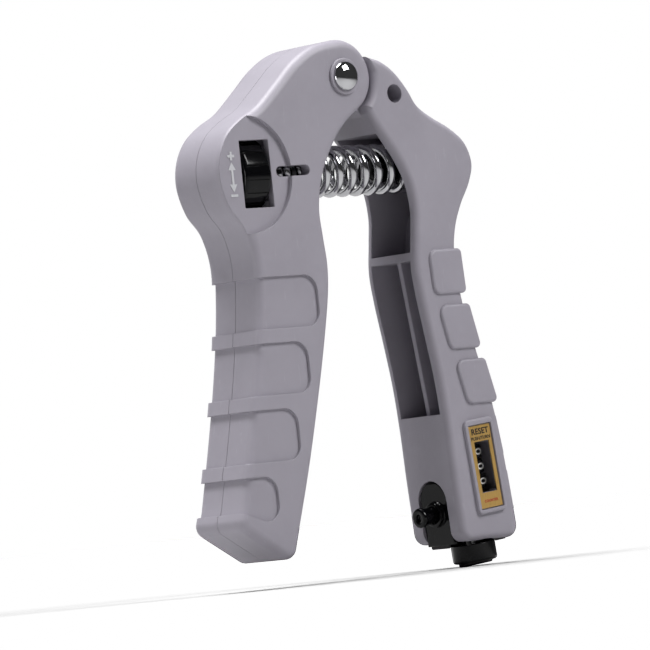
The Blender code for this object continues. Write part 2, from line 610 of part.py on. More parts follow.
def make_counter_frame(counter_axis):
    """Two cheeks and a back that carry the shafts, with a post for the plunger's spring."""
    shape = [(-4.9, 7.1), (6.1, 7.1), (6.1, 8.1), (-4.9, 8.1)]
    frame = finish_object(upright_prism_mesh(shape, -13.4, 9.4, (0, 0, 0)), "counter_frame",
                          "dark_plastic", (0, 0, 0), counter_axis)
    for tag, low, high in (("top", 7.2, 8.4), ("foot", -9.4, -8.5)):
        cheek = [(-4.9, -6.6), (6.1, -6.6), (6.1, 7.6), (-4.9, 7.6)]
        boolean(frame, finish_object(upright_prism_mesh(cheek, low, high, (0, 0, 0)),
                                     f"join_cheek_{tag}", parent=counter_axis), "UNION")
    post = [(-3.6, 3.9), (-2.6, 3.9), (-2.6, 7.6), (-3.6, 7.6)]
    boolean(frame, finish_object(upright_prism_mesh(post, -13.2, -8.9, (0, 0, 0)),
                                 "join_spring_post", parent=counter_axis), "UNION")
    boolean(frame, cutter_cylinder("cut_shaft_holes", 1.3, -13, 11, "Z", (DRUM_X, DRUM_Y, 0), 16,
                                   counter_axis))
    boolean(frame, cutter_cylinder("cut_axle_holes", 0.95, -13, 11, "Z", (DRUM_X, PINION_Y, 0), 12,
                                   counter_axis))


def make_plunger(counter_axis):
    """The push rod that the other handle presses, its guide plate and its return spring."""
    centre = (-12.0, 0, PLUNGER_Z)
    profile = [(0, -5.0), (1.0, -5.0), (1.0, -5.6), (2.5, -5.6), (2.75, -5.3), (2.75, -4.6),
               (2.35, -4.3), (2.35, 3.5), (0, 3.5)]
    rod = turned("plunger", profile, 24, "X", centre, "black_plastic", counter_axis)
    plate = box_outline(-9.0, -8.1, PLUNGER_Z - 2.1, PLUNGER_Z + 1.9)
    boolean(rod, prism("join_plunger_plate", plate, -3.4, 6.2, parent=counter_axis), "UNION")
    riser = box_outline(-8.9, -8.2, PLUNGER_Z + 1.0, -6.6)
    boolean(rod, prism("join_plunger_riser", riser, 0.8, 2.2, parent=counter_axis), "UNION")
    arm = box_outline(-8.6, -3.2, -7.9, -6.8)
    boolean(rod, prism("join_plunger_pawl", arm, 1.0, 1.9, parent=counter_axis), "UNION")

    guide = guide_shape("plunger_guide", -11.1, -9.6, counter_axis, finish="black_plastic")
    collar = turned("join_guide_collar", rod_profile(3.5, -12.4, -10.4, 0.3), 24, "X",
                    (0, 0, PLUNGER_Z), None, counter_axis)
    boolean(guide, collar, "UNION")
    boolean(guide, cutter_cylinder("cut_guide_bore", 2.65, -16, -5, "X", (0, 0, PLUNGER_Z), 24,
                                   counter_axis))

    coil = coil_mesh(0.9, 0.18, 5.0, -7.8, -3.9, 10, 5, "X", (0, 5.0, PLUNGER_Z - 0.6))
    finish_object(coil, "plunger_spring", "chrome", (-3.9, 5.0, PLUNGER_Z - 0.6), counter_axis)


def make_reset(counter_axis):
    place = (KNOB_X, KNOB_Y, 0)
    turned("reset_stem", rod_profile(1.1, KNOB_FOOT + 1.2, -13.6, 0.2), 14, "Z", place, "steel",
           counter_axis)
    profile = [(0, KNOB_FOOT + 0.9), (1.4, KNOB_FOOT + 0.9), (1.4, KNOB_TOP), (KNOB_R - 0.3, KNOB_TOP),
               (KNOB_R, KNOB_TOP - 0.3), (KNOB_R, KNOB_FOOT + 0.6), (KNOB_R - 0.6, KNOB_FOOT),
               (0, KNOB_FOOT)]
    knob = turned("reset_knob", profile, 32, "Z", place, "black_plastic", counter_axis)
    bar = prism("join_knob_bar", box_outline(KNOB_X - 4.9, KNOB_X + 4.9, KNOB_FOOT - 0.9,
                                             KNOB_FOOT + 0.4), KNOB_Y - 1.3, KNOB_Y + 1.3,
                parent=counter_axis)
    boolean(knob, bar, "UNION")

    cap_shape = box_outline(-7.9, 6.1, -8.1, 8.1, 1.0)
    cap = finish_object(upright_prism_mesh([(x, y) for x, y in cap_shape], -21.2, -18.9, (0, 0, 0)),
                        "counter_end_cap", "black_plastic", (0, 0, 0), counter_axis)
    boolean(cap, cutter_cylinder("cut_stem_hole", 1.4, -24, -16, "Z", place, 16, counter_axis))
    boolean(cap, cutter_cylinder("cut_knob_well", KNOB_R + GAP, -24, KNOB_WELL, "Z", place, 24,
                                 counter_axis))


def make_label(counter_axis):
    label = prism("label_plate", box_outline(-4.1, 3.9, -11.5, 11.7), -HALF_THICK - 0.7,
                  -HALF_THICK - 0.4, "gold_foil", parent=counter_axis)
    boolean(label, prism("cut_label_window", box_outline(-2.8, 2.7, -7.2, 7.2), -14, -6,
                         parent=counter_axis))


def main():
    for obj in list(bpy.data.objects):
        bpy.data.objects.remove(obj, do_unlink=True)

    counter_axis = bpy.data.objects.new("counter_axis", None)
    bpy.context.collection.objects.link(counter_axis)
    counter_axis.location = Vector((COUNTER_X, 0, COUNTER_Z)) * MM
    counter_axis.rotation_euler.y = math.radians(-COUNTER_LEAN)

    make_adjuster_handle()
    make_shell_screws()
    make_hinge()
    make_adjuster_wheel()
    make_spindle_and_pusher()
    make_spring()
    make_counter_handle(counter_axis)
    make_digit_wheels(counter_axis)
    make_transfer_pinions(counter_axis)
    make_drive_ratchet(counter_axis)
    make_counter_frame(counter_axis)
    make_plunger(counter_axis)
    make_reset(counter_axis)
    make_label(counter_axis)

    hinge_axis = bpy.data.objects.new("hinge_axis", None)
    bpy.context.collection.objects.link(hinge_axis)
    hinge_axis.location = Vector((HINGE_X, 0, HINGE_Z)) * MM
    for obj in bpy.data.objects:
        if obj.parent is None and obj is not hinge_axis:
            obj.parent = hinge_axis


main()
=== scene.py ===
"""Hand grip exerciser with an adjusting wheel, a compression spring and a three-digit counter.

Run as a script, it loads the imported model, models the finished pieces round it and sets the stage.
Outlines are in millimetres from the hinge axis, and the counter's pieces in the counter's own frame.
"""
import json
import math

import bpy
from mathutils import Matrix, Vector


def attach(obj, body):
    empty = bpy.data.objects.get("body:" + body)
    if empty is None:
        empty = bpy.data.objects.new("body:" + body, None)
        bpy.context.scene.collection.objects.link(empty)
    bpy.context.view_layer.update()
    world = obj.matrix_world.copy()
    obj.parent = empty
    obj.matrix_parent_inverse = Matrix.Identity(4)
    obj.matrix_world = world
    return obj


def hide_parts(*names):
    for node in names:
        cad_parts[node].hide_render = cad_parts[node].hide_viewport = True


bl_info = {
    "name": "Grip exerciser",
    "version": (1, 0, 0),
    "blender": (4, 5, 0),
    "location": "View3D > Sidebar > Grip",
    "description": "Models a spring hand grip with an adjusting wheel and a counter",
    "category": "Object",
}

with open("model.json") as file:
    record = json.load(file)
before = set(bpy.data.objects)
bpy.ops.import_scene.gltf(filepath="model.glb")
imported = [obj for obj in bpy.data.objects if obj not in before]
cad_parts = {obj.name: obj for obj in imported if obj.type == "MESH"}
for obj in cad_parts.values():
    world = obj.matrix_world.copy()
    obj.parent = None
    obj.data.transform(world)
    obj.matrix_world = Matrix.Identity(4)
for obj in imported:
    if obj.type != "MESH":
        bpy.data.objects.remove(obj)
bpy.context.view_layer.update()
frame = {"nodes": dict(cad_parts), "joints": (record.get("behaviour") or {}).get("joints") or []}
JOINTS = {joint["name"]: joint for joint in frame["joints"]}

MM = 0.001
WELD = 1e-6
CURVE_STEPS = 8
HALF_THICK, PAST_FACE = 11.0, 14
FOOT_ROUND = 3.4

# Places on the adjuster handle, from the hinge axis
EAR_R, EAR_BOSS_R, EAR_BOSS_H = 10.5, 5.1, 0.8
CAVITY_HALF, WALL, SEAM = 7.6, 2.4, 0.06
PANEL_X, PANEL_Z, PANEL_R = -38.6, -25.6, 16.4
WINDOW_LEFT, WINDOW_RIGHT, WINDOW_HALF_H = -38.7, -28.4, 9.3
SLOT_LEFT, SLOT_RIGHT, SLOT_H = -26.6, -15.7, 2.9
SPRING_Z, SPRING_R, SPRING_TURNS, SPRING_ENDS = -25.3, 6.1, 13, (-24.3, 34.6)
WHEEL_GROOVES = 18
SCREW_PLACES = ((-14.5, -4.5), (-29.5, -60.5), (-38.5, -104.0))
REST_TOP, REST_PITCH, REST_H, REST_ROUND, LAST_REST_RISE = -54.0, 18.0, 14.2, 4.5, 7.5
REST_RIGHTS, REST_LEFTS = (-17.4, -23.0, -29.0, -38.6), (-44.0, -48.0, -53.0, -58.0)
RIVET_BORE_R, SCREW_BORE_R, SCREW_SINK_R = 2.8, 1.6, 2.9

# Places on the counter handle, from the hinge axis
KNUCKLE_R, KNUCKLE_HALF, STEP_R = 7.6, 7.2, 11.1
CHANNEL_HALF, CHANNEL_WALL = 8.4, 2.6
CHANNEL_TOP, RIB_TOP, RIB_FOOT, POCKET_FOOT = -16.0, -49.7, -52.0, -95.4
HANDLE_FOOT = -131.4
PAD_TOP, PAD_PITCH, PAD_H = -49.5, 15.6, 12.6
PAD_REACH, WRAPPING_PADS = (11.0, 10.6, 10.4, 5.0, 5.0), 3

# Places in the counter's frame, from its window's centre
DRUM_X, DRUM_Y, DRUM_R, DRUM_PITCH = -0.5, -3.4, 5.2, 4.2
DIGIT_WINDOW = (-2.8, 2.7, -7.2, 7.2)
LABEL, LABEL_SEAT = (-4.1, 3.9, -11.5, 11.7), (-4.4, 4.2, -11.8, 12.0)
FIGURE_SIZE, FIGURE_STEP, FIGURE_TURN = 4.2, 36, 15
PLUNGER_Z = -11.1
GUIDE_HALF_W, GUIDE_TOP = 5.6, -1.9
KNOB_X, KNOB_Y = -2.5, -3.4
KNOB_R, KNOB_TOP, KNOB_FOOT, KNOB_WELL = 6.2, -20.7, -26.0, -19.6

# The stage, in metres and degrees; each lamp has its place, its width and its power
FLOOR_RADIUS = 9.0
WALL_GLOW = {"From Min": 0.75, "From Max": 0.97, "To Min": 0.05, "To Max": 0.9}
LAMP_AIM = (0, 0, 0.075)
LAMPS = (("key", (0.42, -0.80, 0.80), 0.5, 9.4), ("side", (-0.42, 0.0, 0.09), 0.14, 0.34),
         ("top", (-0.14, 0.14, 1.25), 0.6, 24.0))
SHOT_TURN, SHOT_LIFT, SHOT_ROLL, SHOT_DISTANCE, SHOT_LENS = 40, -2.0, 6, 1.5, 300.7


def hinge_frame():
    """Millimetres from the hinge axis, taken into the model's metres."""
    return Matrix.Translation(JOINTS["squeeze_hinge"]["pos_m"]) @ Matrix.Scale(MM, 4)


def counter_frame():
    """Millimetres from the counter window's centre, leaning with the handle."""
    spin = JOINTS["units_spin"]
    along = Vector(spin["axis"]).normalized()
    depth = Vector((0, 1, 0))
    turn = Matrix((depth.cross(along), depth, along)).transposed().to_4x4()
    drum = Matrix.Translation((-DRUM_X, -DRUM_Y, 0))
    return Matrix.Translation(spin["pos_m"]) @ turn @ Matrix.Scale(MM, 4) @ drum


HINGE = hinge_frame()
COUNTER = counter_frame()


# ------------------------------------------------------------------ sizes and colours

class GripSizes(bpy.types.PropertyGroup):
    """Sizes of the finish, in millimetres."""
    face_fillet: bpy.props.FloatProperty(
        name="Face fillet", description="Radius round the adjuster handle's faces, in mm",
        default=2.6, min=0.5, max=3.2)
    body_fillet: bpy.props.FloatProperty(
        name="Body fillet", description="Radius round the counter handle's faces, in mm",
        default=2.0, min=0.5, max=2.4)
    panel_depth: bpy.props.FloatProperty(
        name="Panel depth", description="Depth of the wheel's round panel, in mm",
        default=1.3, min=0.2, max=2.0)
    rest_depth: bpy.props.FloatProperty(
        name="Rest depth", description="Depth of the finger rests, in mm",
        default=0.8, min=0.2, max=1.2)
    pad_rise: bpy.props.FloatProperty(
        name="Pad rise", description="Height of the pads above the handle, in mm",
        default=0.9, min=0.2, max=1.2)
    wire: bpy.props.FloatProperty(
        name="Wire radius", description="Radius of the main spring's wire, in mm",
        default=1.12, min=0.6, max=1.3)


class GripColours(bpy.types.PropertyGroup):
    """Colours of the finishes."""
    shell: bpy.props.FloatVectorProperty(
        name="Shell", description="Moulded grey of both handles", subtype="COLOR",
        size=4, default=(0.335, 0.316, 0.364, 1))
    black: bpy.props.FloatVectorProperty(
        name="Black", description="Glossy black mouldings", subtype="COLOR",
        size=4, default=(0.0022, 0.0022, 0.0028, 1))
    foil: bpy.props.FloatVectorProperty(
        name="Foil", description="Gold foil of the label", subtype="COLOR",
        size=4, default=(0.60, 0.38, 0.12, 1))
    plating: bpy.props.FloatVectorProperty(
        name="Plating", description="Bright plating of the spring and the rivet",
        subtype="COLOR", size=4, default=(0.60, 0.60, 0.62, 1))


# ------------------------------------------------------------------ materials

class Value:
    """A shader socket that adds, subtracts and scales as a number does."""

    def __init__(self, graph, socket):
        self.graph, self.socket = graph, socket

    def _math(self, operation, first, second):
        node = self.graph.node("ShaderNodeMath", {"operation": operation}, {0: first, 1: second})
        return Value(self.graph, node.outputs[0])

    def __add__(self, other):
        return self._math("ADD", self, other)

    def __sub__(self, other):
        return self._math("SUBTRACT", self, other)

    def __rsub__(self, other):
        return self._math("SUBTRACT", other, self)

    def __mul__(self, other):
        return self._math("MULTIPLY", self, other)

    __radd__ = __add__
    __rmul__ = __mul__

    def ramp(self, low, high):
        """0 below the low value, 1 above the high one, smooth between."""
        node = self.graph.node("ShaderNodeMapRange", {"interpolation_type": "SMOOTHSTEP"},
                               {"Value": self, "From Min": low, "From Max": high})
        return Value(self.graph, node.outputs["Result"])


class Finish:
    """One material and the nodes that make it."""

    def __init__(self, name, colour, roughness, metallic=0.0):
        self.material = bpy.data.materials.new(name)
        self.material.use_nodes = True
        self.tree = self.material.node_tree
        self.shader = self.tree.nodes["Principled BSDF"]
        self.colour = tuple(colour)
        self.material.diffuse_color = self.colour
        self.set("Base Color", self.colour)
        self.set("Roughness", roughness)
        self.set("Metallic", metallic)
        coordinates = self.node("ShaderNodeTexCoord", {}, {})
        self.place = Value(self, coordinates.outputs["Object"])

    def node(self, kind, settings, values):
        """Adds a node: its settings first, then its sockets' values or links."""
        made = self.tree.nodes.new(kind)
        for key, value in settings.items():
            setattr(made, key, value)
        for key, value in values.items():
            self.feed(made.inputs[key], value)
        return made

    def feed(self, socket, value):
        if isinstance(value, Value):
            self.tree.links.new(value.socket, socket)
        else:
            socket.default_value = value

    def set(self, socket, value):
        self.feed(self.shader.inputs[socket], value)

    def stretched(self, scale, turn=(0, 0, 0)):
        """Object coordinates, scaled and turned, for streaks and lines."""
        node = self.node("ShaderNodeMapping", {}, {"Vector": self.place, "Rotation": turn,
                                                   "Scale": scale})
        return Value(self, node.outputs[0])

    def noise(self, per_metre, detail, roughness, place=None):
        node = self.node("ShaderNodeTexNoise", {}, {
            "Vector": place or self.place, "Scale": per_metre, "Detail": detail,
            "Roughness": roughness})
        return Value(self, node.outputs["Fac"])

    def cells(self, per_metre):
        node = self.node("ShaderNodeTexVoronoi", {"feature": "F1"},
                         {"Vector": self.place, "Scale": per_metre})
        return Value(self, node.outputs["Distance"])

    def blend(self, mask, first, second):
        node = self.node("ShaderNodeMix", {"data_type": "RGBA"},
                         {0: mask, 6: first, 7: second})
        return Value(self, node.outputs[2])

    def edge_round(self, radius):
        """A normal that softens sharp edges by a small radius."""
        node = self.node("ShaderNodeBevel", {"samples": 6}, {"Radius": radius})
        return Value(self, node.outputs[0])

    def relief(self, height, distance, strength, under=None):
        values = {"Height": height, "Distance": distance, "Strength": strength}
        if under:
            values["Normal"] = under
        node = self.node("ShaderNodeBump", {}, values)
        self.set("Normal", Value(self, node.outputs[0]))


def tint(colour, factor):
    return tuple(min(1.0, c * factor) for c in colour[:3]) + (1.0,)


def moulded_grey(name, colour):
    """Satin moulded plastic: spark-eroded grain, faint flow marks, fine scuffs and handling marks."""
    made = Finish(name, colour, 0.42)
    flow = made.noise(55, 3, 0.55)
    mottle = made.noise(420, 3, 0.6)
    scuff_place = made.stretched((900, 900, 160), (0.4, 0.2, 0.9))
    scuffs = made.noise(1.0, 2, 0.5, scuff_place).ramp(0.66, 0.74)
    shade = made.blend(flow.ramp(0.3, 0.7), tint(colour, 0.965), tint(colour, 1.03))
    shade = made.blend(mottle.ramp(0.35, 0.75) * 0.35, shade, tint(colour, 1.06))
    shade = made.blend(scuffs * 0.25, shade, tint(colour, 1.25))
    made.set("Base Color", shade)
    made.set("Roughness", 0.40 + flow * 0.10 + mottle * 0.05 - scuffs * 0.10)
    grain = made.noise(5200, 2, 0.6) * 0.7 + made.noise(1900, 2, 0.5) * 0.3
    made.relief(grain - scuffs * 0.4, 0.00003, 0.55, made.edge_round(0.00032))
    made.shader.inputs["Specular IOR Level"].default_value = 0.42
    return made.material


def glossy_black(name, colour):
    """Polished black plastic with faint waviness, hairlines and a little dust."""
    made = Finish(name, colour, 0.07)
    made.shader.inputs["Specular IOR Level"].default_value = 0.22
    wave = made.noise(160, 2, 0.5)
    hair_place = made.stretched((2600, 240, 2600), (0.3, 0.9, 0.2))
    hairs = made.noise(1.0, 2, 0.5, hair_place).ramp(0.68, 0.74)
    dust = (0.14 - made.cells(950)).ramp(0.0, 0.08)
    made.set("Base Color", made.blend(dust * 0.35, colour, (0.03, 0.03, 0.034, 1)))
    made.set("Roughness", 0.07 + wave * 0.05 + hairs * 0.14 + dust * 0.2)
    made.relief(wave * 0.7 + made.noise(3000, 2, 0.5) * 0.3, 0.00001, 0.25,
                made.edge_round(0.00018))
    return made.material


def satin_dark(name, colour, roughness=0.45):
    """Plain dark moulding for the inner pieces."""
    made = Finish(name, colour, roughness)
    cloud = made.noise(300, 3, 0.6)
    made.set("Base Color", made.blend(cloud, tint(colour, 0.8), tint(colour, 1.25)))
    made.set("Roughness", roughness - 0.06 + cloud * 0.14)
    made.relief(made.noise(4200, 2, 0.6), 0.00003, 0.5)
    return made.material


def bright_plating(name, colour):
    """Polished plated steel: clear reflections, with smears and fine polishing lines."""
    made = Finish(name, colour, 0.07, 1.0)
    smear = made.noise(240, 3, 0.6)
    specks = (0.10 - made.cells(1400)).ramp(0.0, 0.06)
    made.set("Base Color", made.blend(smear.ramp(0.35, 0.8), colour, tint(colour, 0.86)))
    made.set("Roughness", 0.035 + smear.ramp(0.45, 0.8) * 0.10 + specks * 0.2)
    made.relief(made.noise(1.0, 2, 0.6, made.stretched((1500, 1500, 1500))), 0.00001, 0.25)
    return made.material


def turned_metal(name, colour, roughness):
    """Turned or drawn metal with lines across its axis."""
    made = Finish(name, colour, roughness, 1.0)
    lines = made.noise(1.0, 3, 0.6, made.stretched((300, 5000, 5000)))
    stain = made.noise(200, 3, 0.6)
    made.set("Base Color", made.blend(stain.ramp(0.4, 0.8), colour, tint(colour, 0.75)))
    made.set("Roughness", roughness - 0.08 + lines * 0.2 + stain * 0.08)
    made.relief(lines, 0.00002, 0.4)
    return made.material


def gold_foil(name, colour):
    """Thin metallised label with upright brushing and a faint cloudy tone."""
    made = Finish(name, colour, 0.34, 0.72)
    brush = made.noise(1.0, 3, 0.6, made.stretched((6500, 6500, 160)))
    cloud = made.noise(240, 2, 0.5)
    shade = made.blend(brush.ramp(0.25, 0.75), tint(colour, 0.82), tint(colour, 1.22))
    made.set("Base Color", made.blend(cloud.ramp(0.4, 0.8) * 0.5, shade, tint(colour, 1.12)))
    made.set("Roughness", 0.27 + brush * 0.16 + cloud * 0.06)
    made.relief(brush, 0.00001, 0.35)
    return made.material


def printed_ink(name, colour):
    """Pad-printed ink, a little uneven in density."""
    made = Finish(name, colour, 0.5)
    patch = made.noise(2600, 2, 0.6)
    made.set("Base Color", made.blend(patch, tint(colour, 0.86), tint(colour, 1.06)))
    made.set("Roughness", 0.45 + patch * 0.12)
    made.relief(patch, 0.00001, 0.4)
    return made.material


FINISHES = {}


def make_finishes(colours):
    """Every finish, by name, made once."""
    if "shell" in FINISHES:
        return
    FINISHES.update({
        "shell": moulded_grey("moulded_grey", colours.shell),
        "black": glossy_black("glossy_black", colours.black),
        "drum": satin_dark("drum_black", (0.003, 0.003, 0.004, 1), 0.36),
        "dark": satin_dark("dark_moulding", (0.045, 0.045, 0.05, 1)),
        "chrome": bright_plating("bright_plating", colours.plating),
        "steel": turned_metal("turned_steel", (0.50, 0.50, 0.51, 1), 0.30),
        "brass": turned_metal("turned_brass", (0.72, 0.52, 0.24, 1), 0.32),
        "foil": gold_foil("gold_foil", colours.foil),
        "white_ink": printed_ink("white_ink", (0.82, 0.82, 0.80, 1)),
        "black_ink": printed_ink("black_ink", (0.008, 0.007, 0.005, 1)),
        "red_ink": printed_ink("red_ink", (0.45, 0.035, 0.02, 1)),
        "mark": printed_ink("raised_mark", (0.60, 0.60, 0.63, 1)),
    })


# ------------------------------------------------------------------ modelling tools

def deselect():
    if bpy.context.object and bpy.context.object.mode != "OBJECT":
        bpy.ops.object.mode_set(mode="OBJECT")
    bpy.ops.object.select_all(action="DESELECT")


def choose(piece):
    """Makes one piece the selected and active one."""
    deselect()
    bpy.context.view_layer.objects.active = piece
    piece.select_set(True)


def clean(piece):
    """Merges doubles, removes loose edges and turns every face outwards."""
    choose(piece)
    bpy.ops.object.mode_set(mode="EDIT")
    bpy.ops.mesh.select_all(action="SELECT")
    bpy.ops.mesh.remove_doubles(threshold=WELD)
    bpy.ops.mesh.dissolve_degenerate(threshold=WELD)
    bpy.ops.mesh.delete_loose()
    bpy.ops.mesh.normals_make_consistent(inside=False)
    bpy.ops.object.mode_set(mode="OBJECT")


def settle(piece, matrix):
    """Puts a shape made in millimetres into its place, cleaned, with the object at the origin."""
    piece.data.transform(matrix @ piece.matrix_basis)
    piece.matrix_basis = Matrix()
    clean(piece)
    return piece


def apply_all(piece):
    choose(piece)
    for step in list(piece.modifiers):
        bpy.ops.object.modifier_apply(modifier=step.name)


def cut(piece, other, operation="DIFFERENCE"):
    """Cuts another shape out of a piece, or joins it on, and removes the other shape."""
    step = piece.modifiers.new("shape", "BOOLEAN")
    step.operation = operation
    step.solver = "EXACT"
    step.object = other
    apply_all(piece)
    bpy.data.objects.remove(other, do_unlink=True)


def join_on(piece, other):
    cut(piece, other, "UNION")


def finished(piece, finish, body, replaced=(), smooth=40):
    """Gives a piece its shading, its finish, its body and the nodes that it stands for."""
    choose(piece)
    bpy.ops.object.shade_smooth_by_angle(angle=math.radians(smooth))
    weigh = piece.modifiers.new("weigh", "WEIGHTED_NORMAL")
    weigh.keep_sharp = True
    weigh.weight = 80
    apply_all(piece)
    piece.data.materials.clear()
    piece.data.materials.append(FINISHES[finish])
    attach(piece, body)
    if replaced:
        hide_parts(*replaced)


def drawn(name, points, closed):
    """A curve object with straight runs between the given points."""
    deselect()
    bpy.ops.curve.primitive_bezier_circle_add()
    piece = bpy.context.object
    piece.name = name
    piece.data.splines.clear()
    line = piece.data.splines.new("POLY")
    line.points.add(len(points) - 1)
    for point, co in zip(line.points, points):
        point.co = (*co, 1)
    line.use_cyclic_u = closed
    return piece


def plate(name, outline, y0, y1, fillet=0.0, place=HINGE, rounds=5):
    """An outline in x and z given a thickness from y0 to y1 and rounded face edges."""
    curve = drawn(name, [(x, z, 0) for x, z in outline], True).data
    curve.dimensions = "2D"
    curve.fill_mode = "BOTH"
    curve.extrude = (y1 - y0) / 2 - fillet
    curve.bevel_depth = fillet
    curve.bevel_resolution = rounds
    curve.offset = -fillet
    bpy.ops.object.convert(target="MESH")
    stand = Matrix.Translation((0, (y0 + y1) / 2, 0)) @ Matrix.Rotation(math.pi / 2, 4, "X")
    return settle(bpy.context.object, place @ stand)


def wire(name, points, radius):
    """A round wire along a line of points from the hinge, with closed ends."""
    curve = drawn(name, points, False).data
    curve.dimensions = "3D"
    curve.bevel_depth = radius
    curve.bevel_resolution = 6
    curve.use_fill_caps = True
    bpy.ops.object.convert(target="MESH")
    return settle(bpy.context.object, HINGE)


AXES = {"Z": Matrix(), "X": Matrix.Rotation(math.pi / 2, 4, "Y"),
        "Y": Matrix.Rotation(-math.pi / 2, 4, "X")}


def turned(name, profile, axis, centre=(0, 0, 0), place=HINGE, steps=64):
    """A closed profile of (radius, height) points turned round an axis through the centre."""
    deselect()
    bpy.ops.mesh.primitive_circle_add(vertices=len(profile), fill_type="NOTHING")
    piece = bpy.context.object
    piece.name = name
    for vertex, (radius, height) in zip(piece.data.vertices, profile):
        vertex.co = (radius, 0, height)
    spin = piece.modifiers.new("turn", "SCREW")
    spin.angle = 2 * math.pi
    spin.steps = spin.render_steps = steps
    spin.use_merge_vertices = True
    spin.merge_threshold = 0.0001
    apply_all(piece)
    return settle(piece, place @ Matrix.Translation(centre) @ AXES[axis])


def rod(name, radius, low, high, axis, centre=(0, 0, 0), place=HINGE, steps=48):
    """A solid round bar."""
    profile = [(0, low), (radius, low), (radius, high), (0, high)]
    return turned(name, profile, axis, centre, place, steps)


def block(name, x, y, z, place=HINGE, round_edges=0.0):
    """A block between pairs of x, y and z, with its edges rounded if asked."""
    deselect()
    bpy.ops.mesh.primitive_cube_add(size=1)
    piece = bpy.context.object
    piece.name = name
    middle = Vector(((x[0] + x[1]) / 2, (y[0] + y[1]) / 2, (z[0] + z[1]) / 2))
    size = Matrix.Diagonal((x[1] - x[0], y[1] - y[0], z[1] - z[0], 1))
    piece.data.transform(Matrix.Translation(middle) @ size)
    if round_edges:
        bpy.ops.object.mode_set(mode="EDIT")
        bpy.ops.mesh.select_all(action="SELECT")
        bpy.ops.mesh.bevel(offset=round_edges, segments=3, affect="EDGES")
        bpy.ops.object.mode_set(mode="OBJECT")
    return settle(piece, place)


def lettering(name, text, size, place, depth, spread=1.0, bold=0.0):
    """Letters as a thin solid, centred, facing the front of the given place."""
    deselect()
    bpy.ops.object.text_add()
    piece = bpy.context.object
    piece.name = name
    words = piece.data
    words.body = text
    words.size = size
    words.align_x = words.align_y = "CENTER"
    words.extrude = depth
    words.offset = bold
    words.resolution_u = 5
    words.space_character = spread
    bpy.ops.object.convert(target="MESH")
    return settle(bpy.context.object, place @ Matrix.Rotation(math.pi / 2, 4, "X"))


def joined(name, pieces):
    """Several shapes made one object."""
    deselect()
    for piece in pieces:
        piece.select_set(True)
    bpy.context.view_layer.objects.active = pieces[0]
    bpy.ops.object.join()
    pieces[0].name = name
    return pieces[0]


# ------------------------------------------------------------------ outlines

def arc(cx, cz, radius, start, end, steps):
    angles = [math.radians(start + (end - start) * i / steps) for i in range(steps + 1)]
    return [(cx + radius * math.cos(a), cz + radius * math.sin(a)) for a in angles]


def smooth(points):
    """A curve through the given points."""
    ends = [points[0]] + list(points) + [points[-1]]
    line = []
    for before, start, end, after in zip(ends, ends[1:], ends[2:], ends[3:]):
        for i in range(CURVE_STEPS):
            t = i / CURVE_STEPS
            line.append(tuple(
                0.5 * (2 * b + (c - a) * t + (2 * a - 5 * b + 4 * c - d) * t * t
                       + (3 * b - a - 3 * c + d) * t ** 3)
                for a, b, c, d in zip(before, start, end, after)))
    return line + [points[-1]]


def corner(before, point, after, radius):
    """A rounded corner between two straight edges."""
    to_before = (Vector(before) - Vector(point)).normalized()
    to_after = (Vector(after) - Vector(point)).normalized()
    half = to_before.angle(to_after) / 2
    centre = Vector(point) + (to_before + to_after).normalized() * radius / math.sin(half)
    first = Vector(point) + to_before * radius / math.tan(half) - centre
    last = Vector(point) + to_after * radius / math.tan(half) - centre
    sweep = first.angle(last)
    return [tuple(centre + (first * math.sin(sweep * (1 - i / CURVE_STEPS))
                            + last * math.sin(sweep * i / CURVE_STEPS)) / math.sin(sweep))
            for i in range(CURVE_STEPS + 1)]


def rounded(corners, radii):
    """A closed outline whose corners are rounded, each by its own radius."""
    points = []
    for i, point in enumerate(corners):
        after = corners[(i + 1) % len(corners)]
        points += corner(corners[i - 1], point, after, radii[i]) if radii[i] else [point]
    return points


def rectangle(x0, x1, z0, z1, radius=0.0):
    return rounded([(x0, z0), (x1, z0), (x1, z1), (x0, z1)], (radius,) * 4)


def inset(outline, distance):
    """A closed outline moved inwards."""
    count = len(outline)
    area = sum(a[0] * b[1] - b[0] * a[1] for a, b in zip(outline, outline[1:] + outline[:1]))
    side = 1 if area > 0 else -1
    moved = []
    for i in range(count):
        here = Vector(outline[i])
        arriving = (here - Vector(outline[i - 1])).normalized()
        leaving = (Vector(outline[(i + 1) % count]) - here).normalized()
        along = (arriving + leaving).normalized()
        inwards = Vector((-along.y, along.x)) * side / along.dot(leaving)
        moved.append(tuple(here + inwards * distance))
    return moved


def adjuster_outline():
    """The handle that the fingers pull: ear, inner edge, slanted foot, outer edge and bulge."""
    ear = arc(0, 0, EAR_R, 96, -58, 36)
    inner = smooth([ear[-1], (-0.6, -13.4), (-5.8, -19.4), (-10.2, -27.2), (-12.4, -36.0),
                    (-12.1, -44.0), (-11.6, -52.0), (-12.7, -61.0), (-16.4, -76.0),
                    (-21.0, -92.0), (-26.2, -108.5), (-32.4, -126.0)])[1:]
    foot_right, foot_left = (-34.7, -132.6), (-52.9, -121.2)
    outer = smooth([(-50.9, -115.5), (-47.6, -103.0), (-43.6, -87.0), (-40.4, -72.0),
                    (-38.4, -59.0), (-37.8, -49.0), (-40.0, -40.6), (-44.4, -34.6),
                    (-46.8, -27.0), (-46.0, -20.2), (-42.6, -14.4), (-37.4, -10.4),
                    (-31.0, -7.0), (-24.0, -1.2), (-17.0, 4.8), (-9.4, 8.9), ear[0]])[:-1]
    return (ear + inner + corner(inner[-1], foot_right, foot_left, FOOT_ROUND)
            + corner(foot_right, foot_left, outer[0], FOOT_ROUND) + outer)


